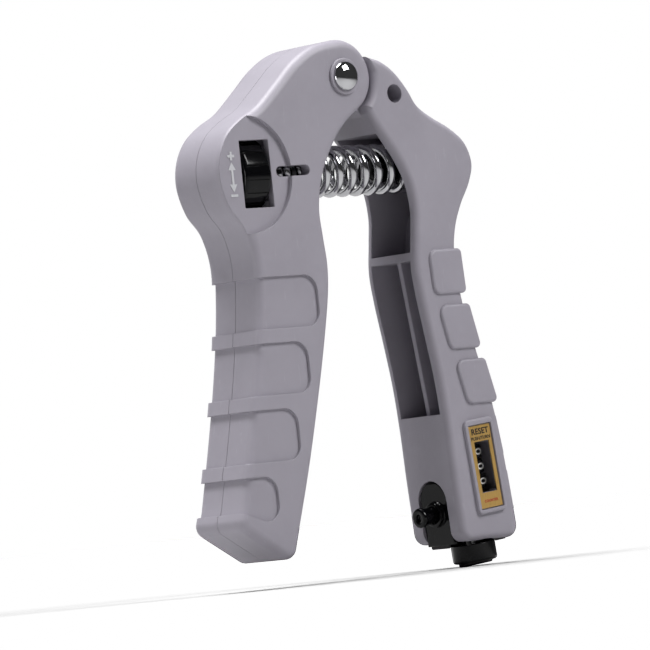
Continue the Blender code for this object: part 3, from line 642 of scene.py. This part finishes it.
def counter_outer_edge():
    return smooth([(9.6, 5.6), (14.2, 4.3), (19.0, 1.2), (23.2, -3.6), (26.4, -8.6),
                   (31.2, -12.0), (37.4, -15.3), (42.6, -19.6), (44.7, -25.6), (43.0, -31.2),
                   (39.0, -37.4), (36.0, -44.0), (34.7, -52.0), (35.7, -64.0), (38.9, -78.0),
                   (42.1, -89.5), (44.4, -102.0), (45.9, -115.0), (46.9, -126.0)])


def counter_inner_edge():
    return smooth([(25.9, -126.0), (25.1, -112.0), (24.6, -99.0), (23.6, -86.0),
                   (21.8, -73.5), (20.0, -62.0), (19.3, -53.5), (20.4, -45.0), (21.2, -38.0),
                   (20.2, -30.5), (17.2, -24.0), (13.4, -18.4), (10.0, -13.8), (7.9, -10.2)])


def counter_outline():
    outer, inner = counter_outer_edge()[CURVE_STEPS:], counter_inner_edge()
    foot_right, foot_left = (47.3, HANDLE_FOOT), (26.2, HANDLE_FOOT)
    step = arc(0, 0, STEP_R, -48, 6, 24)
    return (outer + corner(outer[-1], foot_right, foot_left, FOOT_ROUND)
            + corner(foot_right, foot_left, inner[0], FOOT_ROUND) + inner + step
            + [(9.75, 5.5)])


def channel_outline(top, foot):
    """The hollow that opens towards the other handle, between two heights."""
    edge = [p for p in counter_outer_edge() if foot - 6 < p[1] < top + 6]
    wall = []
    for here, there in zip(edge, edge[1:]):
        along = (Vector(there) - Vector(here)).normalized()
        moved = Vector(here) + Vector((along.y, -along.x)) * CHANNEL_WALL
        if foot < moved.y < top:
            wall.append(tuple(moved))
    return [(-4.0, top), (wall[0][0], top)] + wall[1:-1] + [(wall[-1][0], foot), (-4.0, foot)]


# ------------------------------------------------------------------ adjuster handle

def finger_rest(outline, sizes, index):
    """The layer that one finger rest takes off; the last rest slants up at its outer foot."""
    left, right = REST_LEFTS[index], REST_RIGHTS[index]
    top = REST_TOP - index * REST_PITCH
    foot = top - REST_H
    rise = LAST_REST_RISE if right == REST_RIGHTS[-1] else 0.0
    points = [(left, top), (right, top), (right, foot), (left, foot + rise)]
    rest = plate("rest", rounded(points, (1.5, REST_ROUND, REST_ROUND, 1.5)), -13, 13)
    core, depth = inset(outline, sizes.rest_depth), HALF_THICK - sizes.rest_depth
    cut(rest, plate("rest_core", core, -depth, depth, sizes.face_fillet - 0.4))
    return rest


def adjuster_shell(sizes, side, name):
    """One half of the adjuster handle: side is -1 for the half with the slot, 1 for the other."""
    outline = adjuster_outline()
    face = side * HALF_THICK
    shell = plate(name, outline, -HALF_THICK, HALF_THICK, sizes.face_fillet)
    other = sorted((side * SEAM, -side * PAST_FACE))
    cut(shell, block("far_half", (-70, 30), other, (-150, 30)))

    boss = sorted((face, face + side * EAR_BOSS_H))
    join_on(shell, plate("ear_boss", arc(0, 0, EAR_BOSS_R, 0, 355, 71), *boss, 0.3, rounds=3))
    # Each of these cuts reaches a little past the one before, so that no faces coincide
    cut(shell, plate("cavity", inset(outline, WALL), -CAVITY_HALF, CAVITY_HALF))
    mouth = [(0, 0)] + arc(0, 0, 22, 64, -93, 24)
    cut(shell, plate("mouth", mouth, -CAVITY_HALF - 0.02, CAVITY_HALF + 0.02))
    cut(shell, rod("knuckle_room", KNUCKLE_R + 0.5, -CAVITY_HALF - 0.04, CAVITY_HALF + 0.04, "Y"))
    spring_mouth = rectangle(-20, 4, SPRING_Z - 9.6, SPRING_Z + 9.0, 3.0)
    cut(shell, plate("spring_mouth", spring_mouth, -CAVITY_HALF - 0.06, CAVITY_HALF + 0.06))
    cut(shell, rod("rivet_bore", RIVET_BORE_R, -PAST_FACE, PAST_FACE, "Y"))

    outside = side * PAST_FACE
    panel = sorted((side * (HALF_THICK - sizes.panel_depth), outside))
    cut(shell, rod("panel", PANEL_R, *panel, "Y", (PANEL_X, 0, PANEL_Z), steps=128))
    window = rectangle(WINDOW_LEFT, WINDOW_RIGHT, PANEL_Z - WINDOW_HALF_H,
                       PANEL_Z + WINDOW_HALF_H, 0.3)
    cut(shell, plate("window", window, *sorted((0, outside))))

    for index in range(len(REST_RIGHTS)):
        cut(shell, finger_rest(outline, sizes, index))
    if side < 0:
        slot = rectangle(SLOT_LEFT, SLOT_RIGHT, SPRING_Z - SLOT_H / 2, SPRING_Z + SLOT_H / 2,
                         SLOT_H / 2 - 0.02)
        cut(shell, plate("slot", slot, -13, -5))
    else:
        for x, z in SCREW_PLACES:
            cut(shell, rod("screw_bore", SCREW_BORE_R, 0, 13, "Y", (x, 0, z), steps=32))
            cut(shell, rod("screw_sink", SCREW_SINK_R, 8.0, 13, "Y", (x, 0, z)))
    return shell


class GRIP_OT_adjuster_handle(bpy.types.Operator):
    """Models the two moulded halves of the adjuster handle"""
    bl_idname = "grip.adjuster_handle"
    bl_label = "Adjuster handle"

    def execute(self, context):
        sizes = context.scene.grip_sizes
        for side, half in ((-1, "front"), (1, "back")):
            shell = adjuster_shell(sizes, side, f"adjuster_shell_{half}")
            finished(shell, "shell", "adjuster_grip", [f"adjuster_handle_{half}"])
        return {"FINISHED"}


class GRIP_OT_marks(bpy.types.Operator):
    """Models the raised plus, minus and double arrow beside the wheel"""
    bl_idname = "grip.marks"
    bl_label = "Wheel marks"

    def execute(self, context):
        face = -HALF_THICK + context.scene.grip_sizes.panel_depth
        x = WINDOW_LEFT - 3.4
        low, high = face - 0.16, face + 0.1
        bar, line, barb = 1.2, 0.35, 1.25
        neck, foot = -24.3, -28.2
        plus = rectangle(x - bar, x + bar, -20.8, -20.1)
        upright = rectangle(x - line, x + line, -21.65, -19.25)
        minus = rectangle(x - bar, x + bar, -31.6, -30.9)
        arrow = [(x, -22.2), (x + barb, neck), (x + line, neck), (x + line, foot),
                 (x + barb, foot), (x, -30.3), (x - barb, foot), (x - line, foot),
                 (x - line, neck), (x - barb, neck)]
        marks = plate("wheel_marks", plus, low, high)
        join_on(marks, plate("upright", upright, low - 0.02, high + 0.02))
        finished(joined("wheel_marks", [marks, plate("minus", minus, low, high),
                                        plate("arrow", arrow, low, high)]),
                 "mark", "adjuster_grip")
        return {"FINISHED"}


# ------------------------------------------------------------------ hinge and screws

class GRIP_OT_hinge(bpy.types.Operator):
    """Models the domed rivet and its washer"""
    bl_idname = "grip.hinge"
    bl_label = "Hinge rivet"

    def execute(self, context):
        head = -(HALF_THICK + EAR_BOSS_H + 0.1)
        radius = 4.15
        dome = [(radius * math.sin(a), head - 1.95 * math.cos(a))
                for a in [math.radians(d) for d in range(0, 88, 6)]]
        profile = dome + [(radius, head - 0.05), (radius - 0.1, head), (2.5, head), (2.5, 12.8),
                          (3.5, 12.8), (3.6, 13.0), (3.3, 13.4), (2.6, 13.75), (1.4, 13.95),
                          (0, 14.0)]
        rivet = turned("domed_rivet", profile, "Y", steps=80)
        finished(rivet, "chrome", "adjuster_grip", ["hinge_rivet"], 50)
        washer = turned("flat_washer", [(2.8, 12.0), (4.6, 12.0), (4.7, 12.1), (4.7, 12.4),
                                        (4.6, 12.5), (2.8, 12.5)], "Y")
        finished(washer, "steel", "adjuster_grip", ["rivet_washer"])
        return {"FINISHED"}


class GRIP_OT_screws(bpy.types.Operator):
    """Models the cross-head screws in the back of the adjuster handle"""
    bl_idname = "grip.screws"
    bl_label = "Screws"

    def execute(self, context):
        thread = [(1.25 if i % 2 else 0.95, -4.6 + i * 0.45) for i in range(27)]
        profile = ([(0, -6.2), (0.4, -5.8)] + thread
                   + [(1.2, 8.3), (2.45, 8.3), (2.5, 8.4), (2.45, 9.1), (2.1, 9.6), (1.4, 9.9),
                      (0, 10.0)])
        for number, (x, z) in enumerate(SCREW_PLACES, start=1):
            screw = turned("screw", profile, "Y", (x, 0, z), steps=32)
            for bar in (rectangle(x - 1.3, x + 1.3, z - 0.22, z + 0.22),
                        rectangle(x - 0.22, x + 0.22, z - 1.3, z + 1.3)):
                cut(screw, plate("cross", bar, 8.9, 11))
            screw.name = f"cross_head_screw_{number}"
            finished(screw, "steel", "adjuster_grip", [f"shell_screw_{number}"])
        return {"FINISHED"}


# ------------------------------------------------------------------ spring and adjuster

class GRIP_OT_wheel(bpy.types.Operator):
    """Models the ridged adjusting wheel"""
    bl_idname = "grip.wheel"
    bl_label = "Adjusting wheel"

    def execute(self, context):
        middle = (WINDOW_LEFT + WINDOW_RIGHT) / 2
        half = (WINDOW_RIGHT - WINDOW_LEFT) / 2 - 0.5
        side = [(2.8, half), (4.4, half), (4.4, half - 0.8), (8.2, half - 0.8), (8.2, half),
                (9.7, half), (10.2, half - 0.12), (10.6, half - 0.4), (10.85, half - 0.8),
                (10.95, half - 1.3)]
        profile = side + [(r, -h) for r, h in reversed(side)]
        wheel = turned("ridged_wheel", profile, "X", (middle, 0, SPRING_Z), steps=144)
        grooves = []
        for i in range(WHEEL_GROOVES):
            angle = math.radians(360 / WHEEL_GROOVES * (i + 0.5))
            place = (HINGE @ Matrix.Translation((middle, 0, SPRING_Z))
                     @ Matrix.Rotation(angle, 4, "X"))
            grooves.append(block("groove", (-half - 1, half + 1), (-11.6, -10.68), (-0.2, 0.2),
                                 place))
        cut(wheel, joined("grooves", grooves))
        finished(wheel, "black", "wheel", ["adjuster_wheel"], 32)
        return {"FINISHED"}


class GRIP_OT_spring(bpy.types.Operator):
    """Models the plated main spring, its pusher and its seat"""
    bl_idname = "grip.spring"
    bl_label = "Spring"

    def execute(self, context):
        wire_r = context.scene.grip_sizes.wire
        start, end = SPRING_ENDS[0] + wire_r, SPRING_ENDS[1] - wire_r
        closed, open_turns, per_turn = 2 * wire_r * 1.06, SPRING_TURNS - 2, 40
        pitch = (end - start - 2 * closed) / open_turns
        points = []
        for i in range(SPRING_TURNS * per_turn + 1):
            turn = i / per_turn
            height = (start + closed * (min(turn, 1) + max(turn - SPRING_TURNS + 1, 0))
                      + pitch * min(max(turn - 1, 0), open_turns))
            angle = 2 * math.pi * turn + math.radians(110)
            points.append((height, SPRING_R * math.cos(angle),
                           SPRING_Z + SPRING_R * math.sin(angle)))
        coil = wire("main_spring", points, wire_r)
        finished(coil, "chrome", "counter_grip", ["compression_spring"], 60)

        seat = turned("spring_boss", [(0, 16.2), (2.4, 16.2), (3.4, 16.6), (4.0, 17.5), (4.1, 34.9),
                                      (7.0, 34.9), (7.2, 35.1), (7.2, 35.8), (7.0, 36.0),
                                      (3.0, 36.0), (3.0, 38.2), (0, 38.2)], "X", (0, 0, SPRING_Z))
        finished(seat, "black", "counter_grip", ["spring_seat"])
        back = -26.2
        pusher = turned("sliding_pusher", [(2.8, back), (7.1, back), (7.3, back + 0.2),
                                           (7.3, back + 1.4), (7.1, back + 1.6),
                                           (4.3, back + 1.6), (4.3, back + 9.4),
                                           (3.7, back + 10.2), (2.8, back + 10.2)],
                        "X", (0, 0, SPRING_Z))
        join_on(pusher, block("tab", (back, back + 1.6), (-9.8, -5.5),
                              (SPRING_Z - 0.7, SPRING_Z + 0.7), round_edges=0.15))
        finished(pusher, "black", "pusher", ["spring_pusher"])
        return {"FINISHED"}


# ------------------------------------------------------------------ counter handle

def edge_x(edge, z):
    """Where an edge that runs downwards stands at a height."""
    for (x0, z0), (x1, z1) in zip(edge, edge[1:]):
        if z1 <= z <= z0:
            return x0 + (x1 - x0) * (z - z0) / (z1 - z0)
    return edge[-1][0]


def grip_pad(sizes, index):
    """One raised pad; the upper three wrap round on to both faces."""
    top = PAD_TOP - index * PAD_PITCH
    foot = top - PAD_H
    edge = counter_outer_edge()
    upper, lower = edge_x(edge, top), edge_x(edge, foot)
    left = upper - PAD_REACH[index]
    corners = [(left, top), (upper + sizes.pad_rise, top), (lower + sizes.pad_rise, foot),
               (left + lower - upper, foot)]
    half = HALF_THICK + sizes.pad_rise if index < WRAPPING_PADS else HALF_THICK - 1.6
    return plate("grip_pad", rounded(corners, (2.6, 1.4, 1.4, 2.6)), -half, half, 0.7, rounds=4)


def arched(name, x0, x1, spare):
    """The arched plate's shape, pushed through along the counter's own x."""
    half = GUIDE_HALF_W + spare
    arch = arc(0, GUIDE_TOP - GUIDE_HALF_W, half, 0, 180, 40)
    foot = -24.0 if spare else -20.0
    turn = COUNTER @ Matrix.Rotation(math.pi / 2, 4, "Z")
    return plate(name, arch + [(-half, foot), (half, foot)], -x1, -x0, 0.0 if spare else 0.25,
                 turn, 2)


class GRIP_OT_counter_handle(bpy.types.Operator):
    """Models the counter handle with its channel, pads, web and window"""
    bl_idname = "grip.counter_handle"
    bl_label = "Counter handle"

    def execute(self, context):
        sizes = context.scene.grip_sizes
        body = plate("counter_body", counter_outline(), -HALF_THICK, HALF_THICK,
                     sizes.body_fillet)
        knuckle = (arc(0, 0, KNUCKLE_R, 292, 62, 40)
                   + [(9.4, 6.0), (12.5, 4.2), (15.5, -2.0), (13.5, -13.0), (9.0, -11.6),
                      (7.2, -10.0)])
        join_on(body, plate("knuckle", knuckle, -KNUCKLE_HALF, KNUCKLE_HALF, 0.3, rounds=2))
        for index in range(len(PAD_REACH)):
            join_on(body, grip_pad(sizes, index))
        rim = rectangle(-5.4, 5.2, -13.0, 13.6, 1.5)
        join_on(body, plate("window_rim", rim, -HALF_THICK - 1.1, -HALF_THICK + 1, 0.45,
                            COUNTER, 4))

        for top, foot in ((CHANNEL_TOP, RIB_TOP), (RIB_FOOT, POCKET_FOOT)):
            cut(body, plate("channel", channel_outline(top, foot), -CHANNEL_HALF, CHANNEL_HALF))
        web = [(22.2, RIB_FOOT + 1), (33.6, RIB_FOOT + 1), (41.0, POCKET_FOOT - 1),
               (27.6, POCKET_FOOT - 1)]
        join_on(body, plate("web", web, -0.8, 0.8, 0.2, rounds=2))
        pedestal = rectangle(38.5, 41.6, SPRING_Z - 5.5, SPRING_Z + 5.5)
        join_on(body, plate("pedestal", pedestal, -5.5, 5.5))
        room = rectangle(-9.3, 6.4, -24.0, 9.8)
        cut(body, plate("counter_room", room, -CHANNEL_HALF, CHANNEL_HALF, place=COUNTER))
        cut(body, plate("digit_window", rectangle(*DIGIT_WINDOW), -PAST_FACE, -6,
                        place=COUNTER))
        cut(body, plate("drum_bay", rectangle(-2.9, 4.9, -6.7, 6.7), -11.2, -6, place=COUNTER))
        cut(body, plate("label_seat", rectangle(*LABEL_SEAT, 0.3), -PAST_FACE, -HALF_THICK - 0.1,
                        place=COUNTER))
        cut(body, rod("knob_room", KNOB_R + 0.35, -30, KNOB_WELL, "Z", (KNOB_X, KNOB_Y, 0),
                      COUNTER, 64))
        cut(body, arched("guide_notch", -18.0, -5.0, 0.3))
        cut(body, rod("cord_hole", 2.6, -PAST_FACE, PAST_FACE, "Y", (17.8, 0, -5.3),
                      steps=64))
        cut(body, rod("bush_seat", 4.0, -9, 9, "Y"))
        finished(body, "shell", "counter_grip", ["counter_handle"])
        return {"FINISHED"}


# ------------------------------------------------------------------ counter

class GRIP_OT_label(bpy.types.Operator):
    """Models the foil label round the window, with its printed words"""
    bl_idname = "grip.label"
    bl_label = "Label"

    def execute(self, context):
        face = -HALF_THICK - 0.7
        label = plate("foil_label", rectangle(*LABEL, 0.25), face, face + 0.3, 0.04, COUNTER, 1)
        cut(label, plate("opening", rectangle(*DIGIT_WINDOW), -PAST_FACE, -6, place=COUNTER))
        finished(label, "foil", "counter_grip", ["label_plate"])
        prints = (("print_reset", "RESET", 2.3, 10.0, "black_ink", 1.06),
                  ("print_turn", "PUSH/TURN", 1.3, 8.1, "black_ink", 1.04),
                  ("print_name", "COUNTER", 1.0, -9.6, "red_ink", 1.1))
        for name, text, size, z, ink, spread in prints:
            place = COUNTER @ Matrix.Translation((-0.1, face - 0.01, z))
            letters = lettering(name, text, size, place, 0.03, spread, 0.03 * size)
            finished(letters, ink, "counter_grip")
        return {"FINISHED"}


class GRIP_OT_digits(bpy.types.Operator):
    """Models the three digit wheels with their figures"""
    bl_idname = "grip.digits"
    bl_label = "Digit wheels"

    def execute(self, context):
        for name, place in (("units", -DRUM_PITCH), ("tens", 0.0), ("hundreds", DRUM_PITCH)):
            centre = (DRUM_X, DRUM_Y, place)
            profile = [(1.3, -1.9), (4.5, -1.9), (4.5, -1.55), (DRUM_R - 0.12, -1.55),
                       (DRUM_R, -1.43), (DRUM_R, 1.78), (DRUM_R - 0.12, 1.9), (1.3, 1.9)]
            drum = turned(f"drum_{name}", profile, "Z", centre, COUNTER, 80)
            finished(drum, "drum", f"{name}_wheel", [f"digit_wheel_{name}"])
            figures = []
            for digit in range(10):
                around = Matrix.Rotation(math.radians(FIGURE_TURN - FIGURE_STEP * digit), 4, "Z")
                upright = (COUNTER @ Matrix.Translation(centre) @ around
                           @ Matrix.Translation((0, -DRUM_R + 0.02, 0.15))
                           @ Matrix.Rotation(math.pi / 2, 4, "Y"))
                figures.append(lettering("figure", str(digit), FIGURE_SIZE, upright, 0.06))
            finished(joined(f"figures_{name}", figures), "white_ink", f"{name}_wheel")
        return {"FINISHED"}


class GRIP_OT_plunger(bpy.types.Operator):
    """Models the plunger and its arched guide plate"""
    bl_idname = "grip.plunger"
    bl_label = "Plunger"

    def execute(self, context):
        centre = (-12.0, 0, PLUNGER_Z)
        profile = [(0, -4.9), (0.85, -4.9), (1.05, -5.1), (1.1, -5.55), (1.3, -5.7), (2.4, -5.7),
                   (2.68, -5.55), (2.8, -5.2), (2.8, -4.7), (2.68, -4.45), (2.4, -4.3),
                   (2.35, -4.1), (2.35, 3.5), (0, 3.5)]
        stem = turned("push_plunger", profile, "X", centre, COUNTER, 64)
        join_on(stem, block("flange", (-9.0, -8.1), (-3.4, 6.2),
                            (PLUNGER_Z - 2.1, PLUNGER_Z + 1.9), COUNTER, 0.15))
        join_on(stem, block("riser", (-8.9, -8.2), (0.8, 2.2), (PLUNGER_Z + 1.0, -6.6), COUNTER))
        join_on(stem, block("pawl", (-8.6, -3.2), (1.0, 1.9), (-7.9, -6.8), COUNTER))
        finished(stem, "black", "plunger", ["plunger"])

        guide = arched("arched_guide", -11.1, -9.6, 0.0)
        collar = turned("collar", [(0, -12.4), (3.2, -12.4), (3.42, -12.3), (3.5, -12.1),
                                   (3.5, -11.5), (3.8, -11.05), (3.8, -10.4), (0, -10.4)], "X",
                        (0, 0, PLUNGER_Z), COUNTER)
        join_on(guide, collar)
        cut(guide, rod("bore", 2.6, -16, -5, "X", (0, 0, PLUNGER_Z), COUNTER))
        finished(guide, "black", "counter_grip", ["plunger_guide"])
        return {"FINISHED"}


class GRIP_OT_reset_knob(bpy.types.Operator):
    """Models the reset knob and the cap that it turns in"""
    bl_idname = "grip.reset_knob"
    bl_label = "Reset knob"

    def execute(self, context):
        centre = (KNOB_X, KNOB_Y, 0)
        foot = KNOB_FOOT
        profile = [(0, foot + 0.9), (1.4, foot + 0.9), (1.4, KNOB_TOP), (KNOB_R - 0.25, KNOB_TOP),
                   (KNOB_R, KNOB_TOP - 0.25), (KNOB_R, foot + 0.75), (KNOB_R - 0.1, foot + 0.35),
                   (KNOB_R - 0.35, foot + 0.1), (KNOB_R - 0.75, foot), (0, foot)]
        knob = turned("turn_knob", profile, "Z", centre, COUNTER, 96)
        bar = block("grip_bar", (KNOB_X - 5.2, KNOB_X + 5.2), (KNOB_Y - 1.5, KNOB_Y + 1.5),
                    (foot - 0.9, foot + 0.5), COUNTER, 0.45)
        join_on(knob, bar)
        finished(knob, "black", "reset_turner", ["reset_knob"])

        cap = block("foot_cap", (-7.9, 6.1), (-8.1, 8.1), (-21.2, -18.9), COUNTER, 0.35)
        cut(cap, rod("stem_hole", 1.4, -24, -16, "Z", centre, COUNTER))
        cut(cap, rod("knob_well", KNOB_R + 0.3, -24, KNOB_WELL, "Z", centre, COUNTER, 64))
        finished(cap, "black", "counter_grip", ["counter_end_cap"])
        return {"FINISHED"}


class GRIP_OT_inner_finishes(bpy.types.Operator):
    """Gives the pieces inside the handles their finishes"""
    bl_idname = "grip.inner_finishes"
    bl_label = "Inner finishes"

    def execute(self, context):
        kept = {
            "steel": ("threaded_spindle", "drum_shaft", "pinion_axle", "reset_stem"),
            "brass": ("hinge_bush", "transfer_pinion_tens", "transfer_pinion_hundreds",
                      "drive_ratchet"),
            "dark": ("counter_frame",),
            "chrome": ("plunger_spring",),
        }
        for finish, names in kept.items():
            for name in names:
                for slot in frame["nodes"][name].material_slots:
                    slot.material = FINISHES[finish]
        return {"FINISHED"}


# ------------------------------------------------------------------ stage

class GRIP_OT_stage(bpy.types.Operator):
    """Sets the pale floor, the soft lights and the camera"""
    bl_idname = "grip.stage"
    bl_label = "Stage"

    def execute(self, context):
        self.add_floor()
        self.add_world(context.scene)
        self.add_lights()
        self.add_camera(context.scene)
        context.scene.view_settings.view_transform = "Standard"
        return {"FINISHED"}

    def add_floor(self):
        deselect()
        bpy.ops.mesh.primitive_circle_add(vertices=96, radius=FLOOR_RADIUS, fill_type="NGON")
        floor = bpy.context.object
        floor.name = "floor"
        made = Finish("floor_paper", (0.4, 0.4, 0.4, 1), 0.7)
        tone = made.noise(3, 2, 0.5)
        made.set("Base Color", made.blend(tone, (0.38, 0.38, 0.38, 1), (0.42, 0.42, 0.42, 1)))
        floor.data.materials.append(made.material)
        floor.is_shadow_catcher = True

    def add_world(self, scene):
        """A white wall far behind the object, a dark room in front, and white where one looks."""
        world = bpy.data.worlds.new("studio")
        scene.world = world
        world.use_nodes = True
        tree = world.node_tree
        place = tree.nodes.new("ShaderNodeTexCoord")
        parts = tree.nodes.new("ShaderNodeSeparateXYZ")
        wall = tree.nodes.new("ShaderNodeMapRange")
        wall.interpolation_type = "SMOOTHSTEP"
        for socket, value in WALL_GLOW.items():
            wall.inputs[socket].default_value = value
        look = tree.nodes.new("ShaderNodeLightPath")
        level = tree.nodes.new("ShaderNodeMath")
        level.operation = "MAXIMUM"
        tree.links.new(place.outputs["Generated"], parts.inputs[0])
        tree.links.new(parts.outputs["Y"], wall.inputs["Value"])
        tree.links.new(wall.outputs["Result"], level.inputs[0])
        tree.links.new(look.outputs["Is Camera Ray"], level.inputs[1])
        background = tree.nodes["Background"]
        background.inputs["Color"].default_value = (1, 1, 1, 1)
        tree.links.new(level.outputs[0], background.inputs["Strength"])

    def add_lights(self):
        for name, spot, size, power in LAMPS:
            deselect()
            bpy.ops.object.light_add(type="AREA", location=spot)
            lamp = bpy.context.object
            lamp.name = name
            lamp.data.size = size
            lamp.data.energy = power
            lamp.rotation_mode = "QUATERNION"
            lamp.rotation_quaternion = (Vector(LAMP_AIM) - Vector(spot)).to_track_quat(
                "-Z", "Y")

    def add_camera(self, scene):
        """A long lens from the left, low down and rolled a little."""
        turn, lift, roll = map(math.radians, (SHOT_TURN, SHOT_LIFT, SHOT_ROLL))
        back = Vector((-math.sin(turn) * math.cos(lift), -math.cos(turn) * math.cos(lift),
                       math.sin(lift)))
        level = Vector((math.cos(turn), -math.sin(turn), 0))
        upright = back.cross(level)
        right = level * math.cos(roll) - upright * math.sin(roll)
        up = level * math.sin(roll) + upright * math.cos(roll)
        rivet = HINGE @ Vector((0, -12.0, 0))
        aim = rivet - right * 0.0058 - up * 0.0688
        bpy.ops.object.camera_add()
        camera = bpy.context.object
        camera.name = "camera"
        spot = Matrix.Translation(aim + back * SHOT_DISTANCE)
        camera.matrix_world = spot @ Matrix((right, up, back)).transposed().to_4x4()
        camera.data.sensor_width = 36
        camera.data.lens = SHOT_LENS
        camera.data.clip_end = 50
        scene.camera = camera


# ------------------------------------------------------------------ add-on

STEPS = (GRIP_OT_adjuster_handle, GRIP_OT_marks, GRIP_OT_hinge, GRIP_OT_screws, GRIP_OT_wheel,
         GRIP_OT_spring, GRIP_OT_counter_handle, GRIP_OT_label, GRIP_OT_digits, GRIP_OT_plunger,
         GRIP_OT_reset_knob, GRIP_OT_inner_finishes, GRIP_OT_stage)


class GRIP_PT_panel(bpy.types.Panel):
    """Lists the steps and the settings in the 3D view's sidebar"""
    bl_idname = "GRIP_PT_panel"
    bl_label = "Grip exerciser"
    bl_space_type = "VIEW_3D"
    bl_region_type = "UI"
    bl_category = "Grip"

    def draw(self, context):
        for settings in (context.scene.grip_sizes, context.scene.grip_colours):
            for key in settings.bl_rna.properties.keys():
                if key not in ("rna_type", "name"):
                    self.layout.prop(settings, key)
        for step in STEPS:
            self.layout.operator(step.bl_idname)


CLASSES = (GripSizes, GripColours, *STEPS, GRIP_PT_panel)


def register():
    for made in CLASSES:
        bpy.utils.register_class(made)
    bpy.types.Scene.grip_sizes = bpy.props.PointerProperty(type=GripSizes)
    bpy.types.Scene.grip_colours = bpy.props.PointerProperty(type=GripColours)


def unregister():
    del bpy.types.Scene.grip_colours
    del bpy.types.Scene.grip_sizes
    for made in reversed(CLASSES):
        bpy.utils.unregister_class(made)


def main():
    register()
    make_finishes(bpy.context.scene.grip_colours)
    for step in STEPS:
        group, name = step.bl_idname.split(".")
        getattr(getattr(bpy.ops, group), name)()


if __name__ == "__main__":
    main()
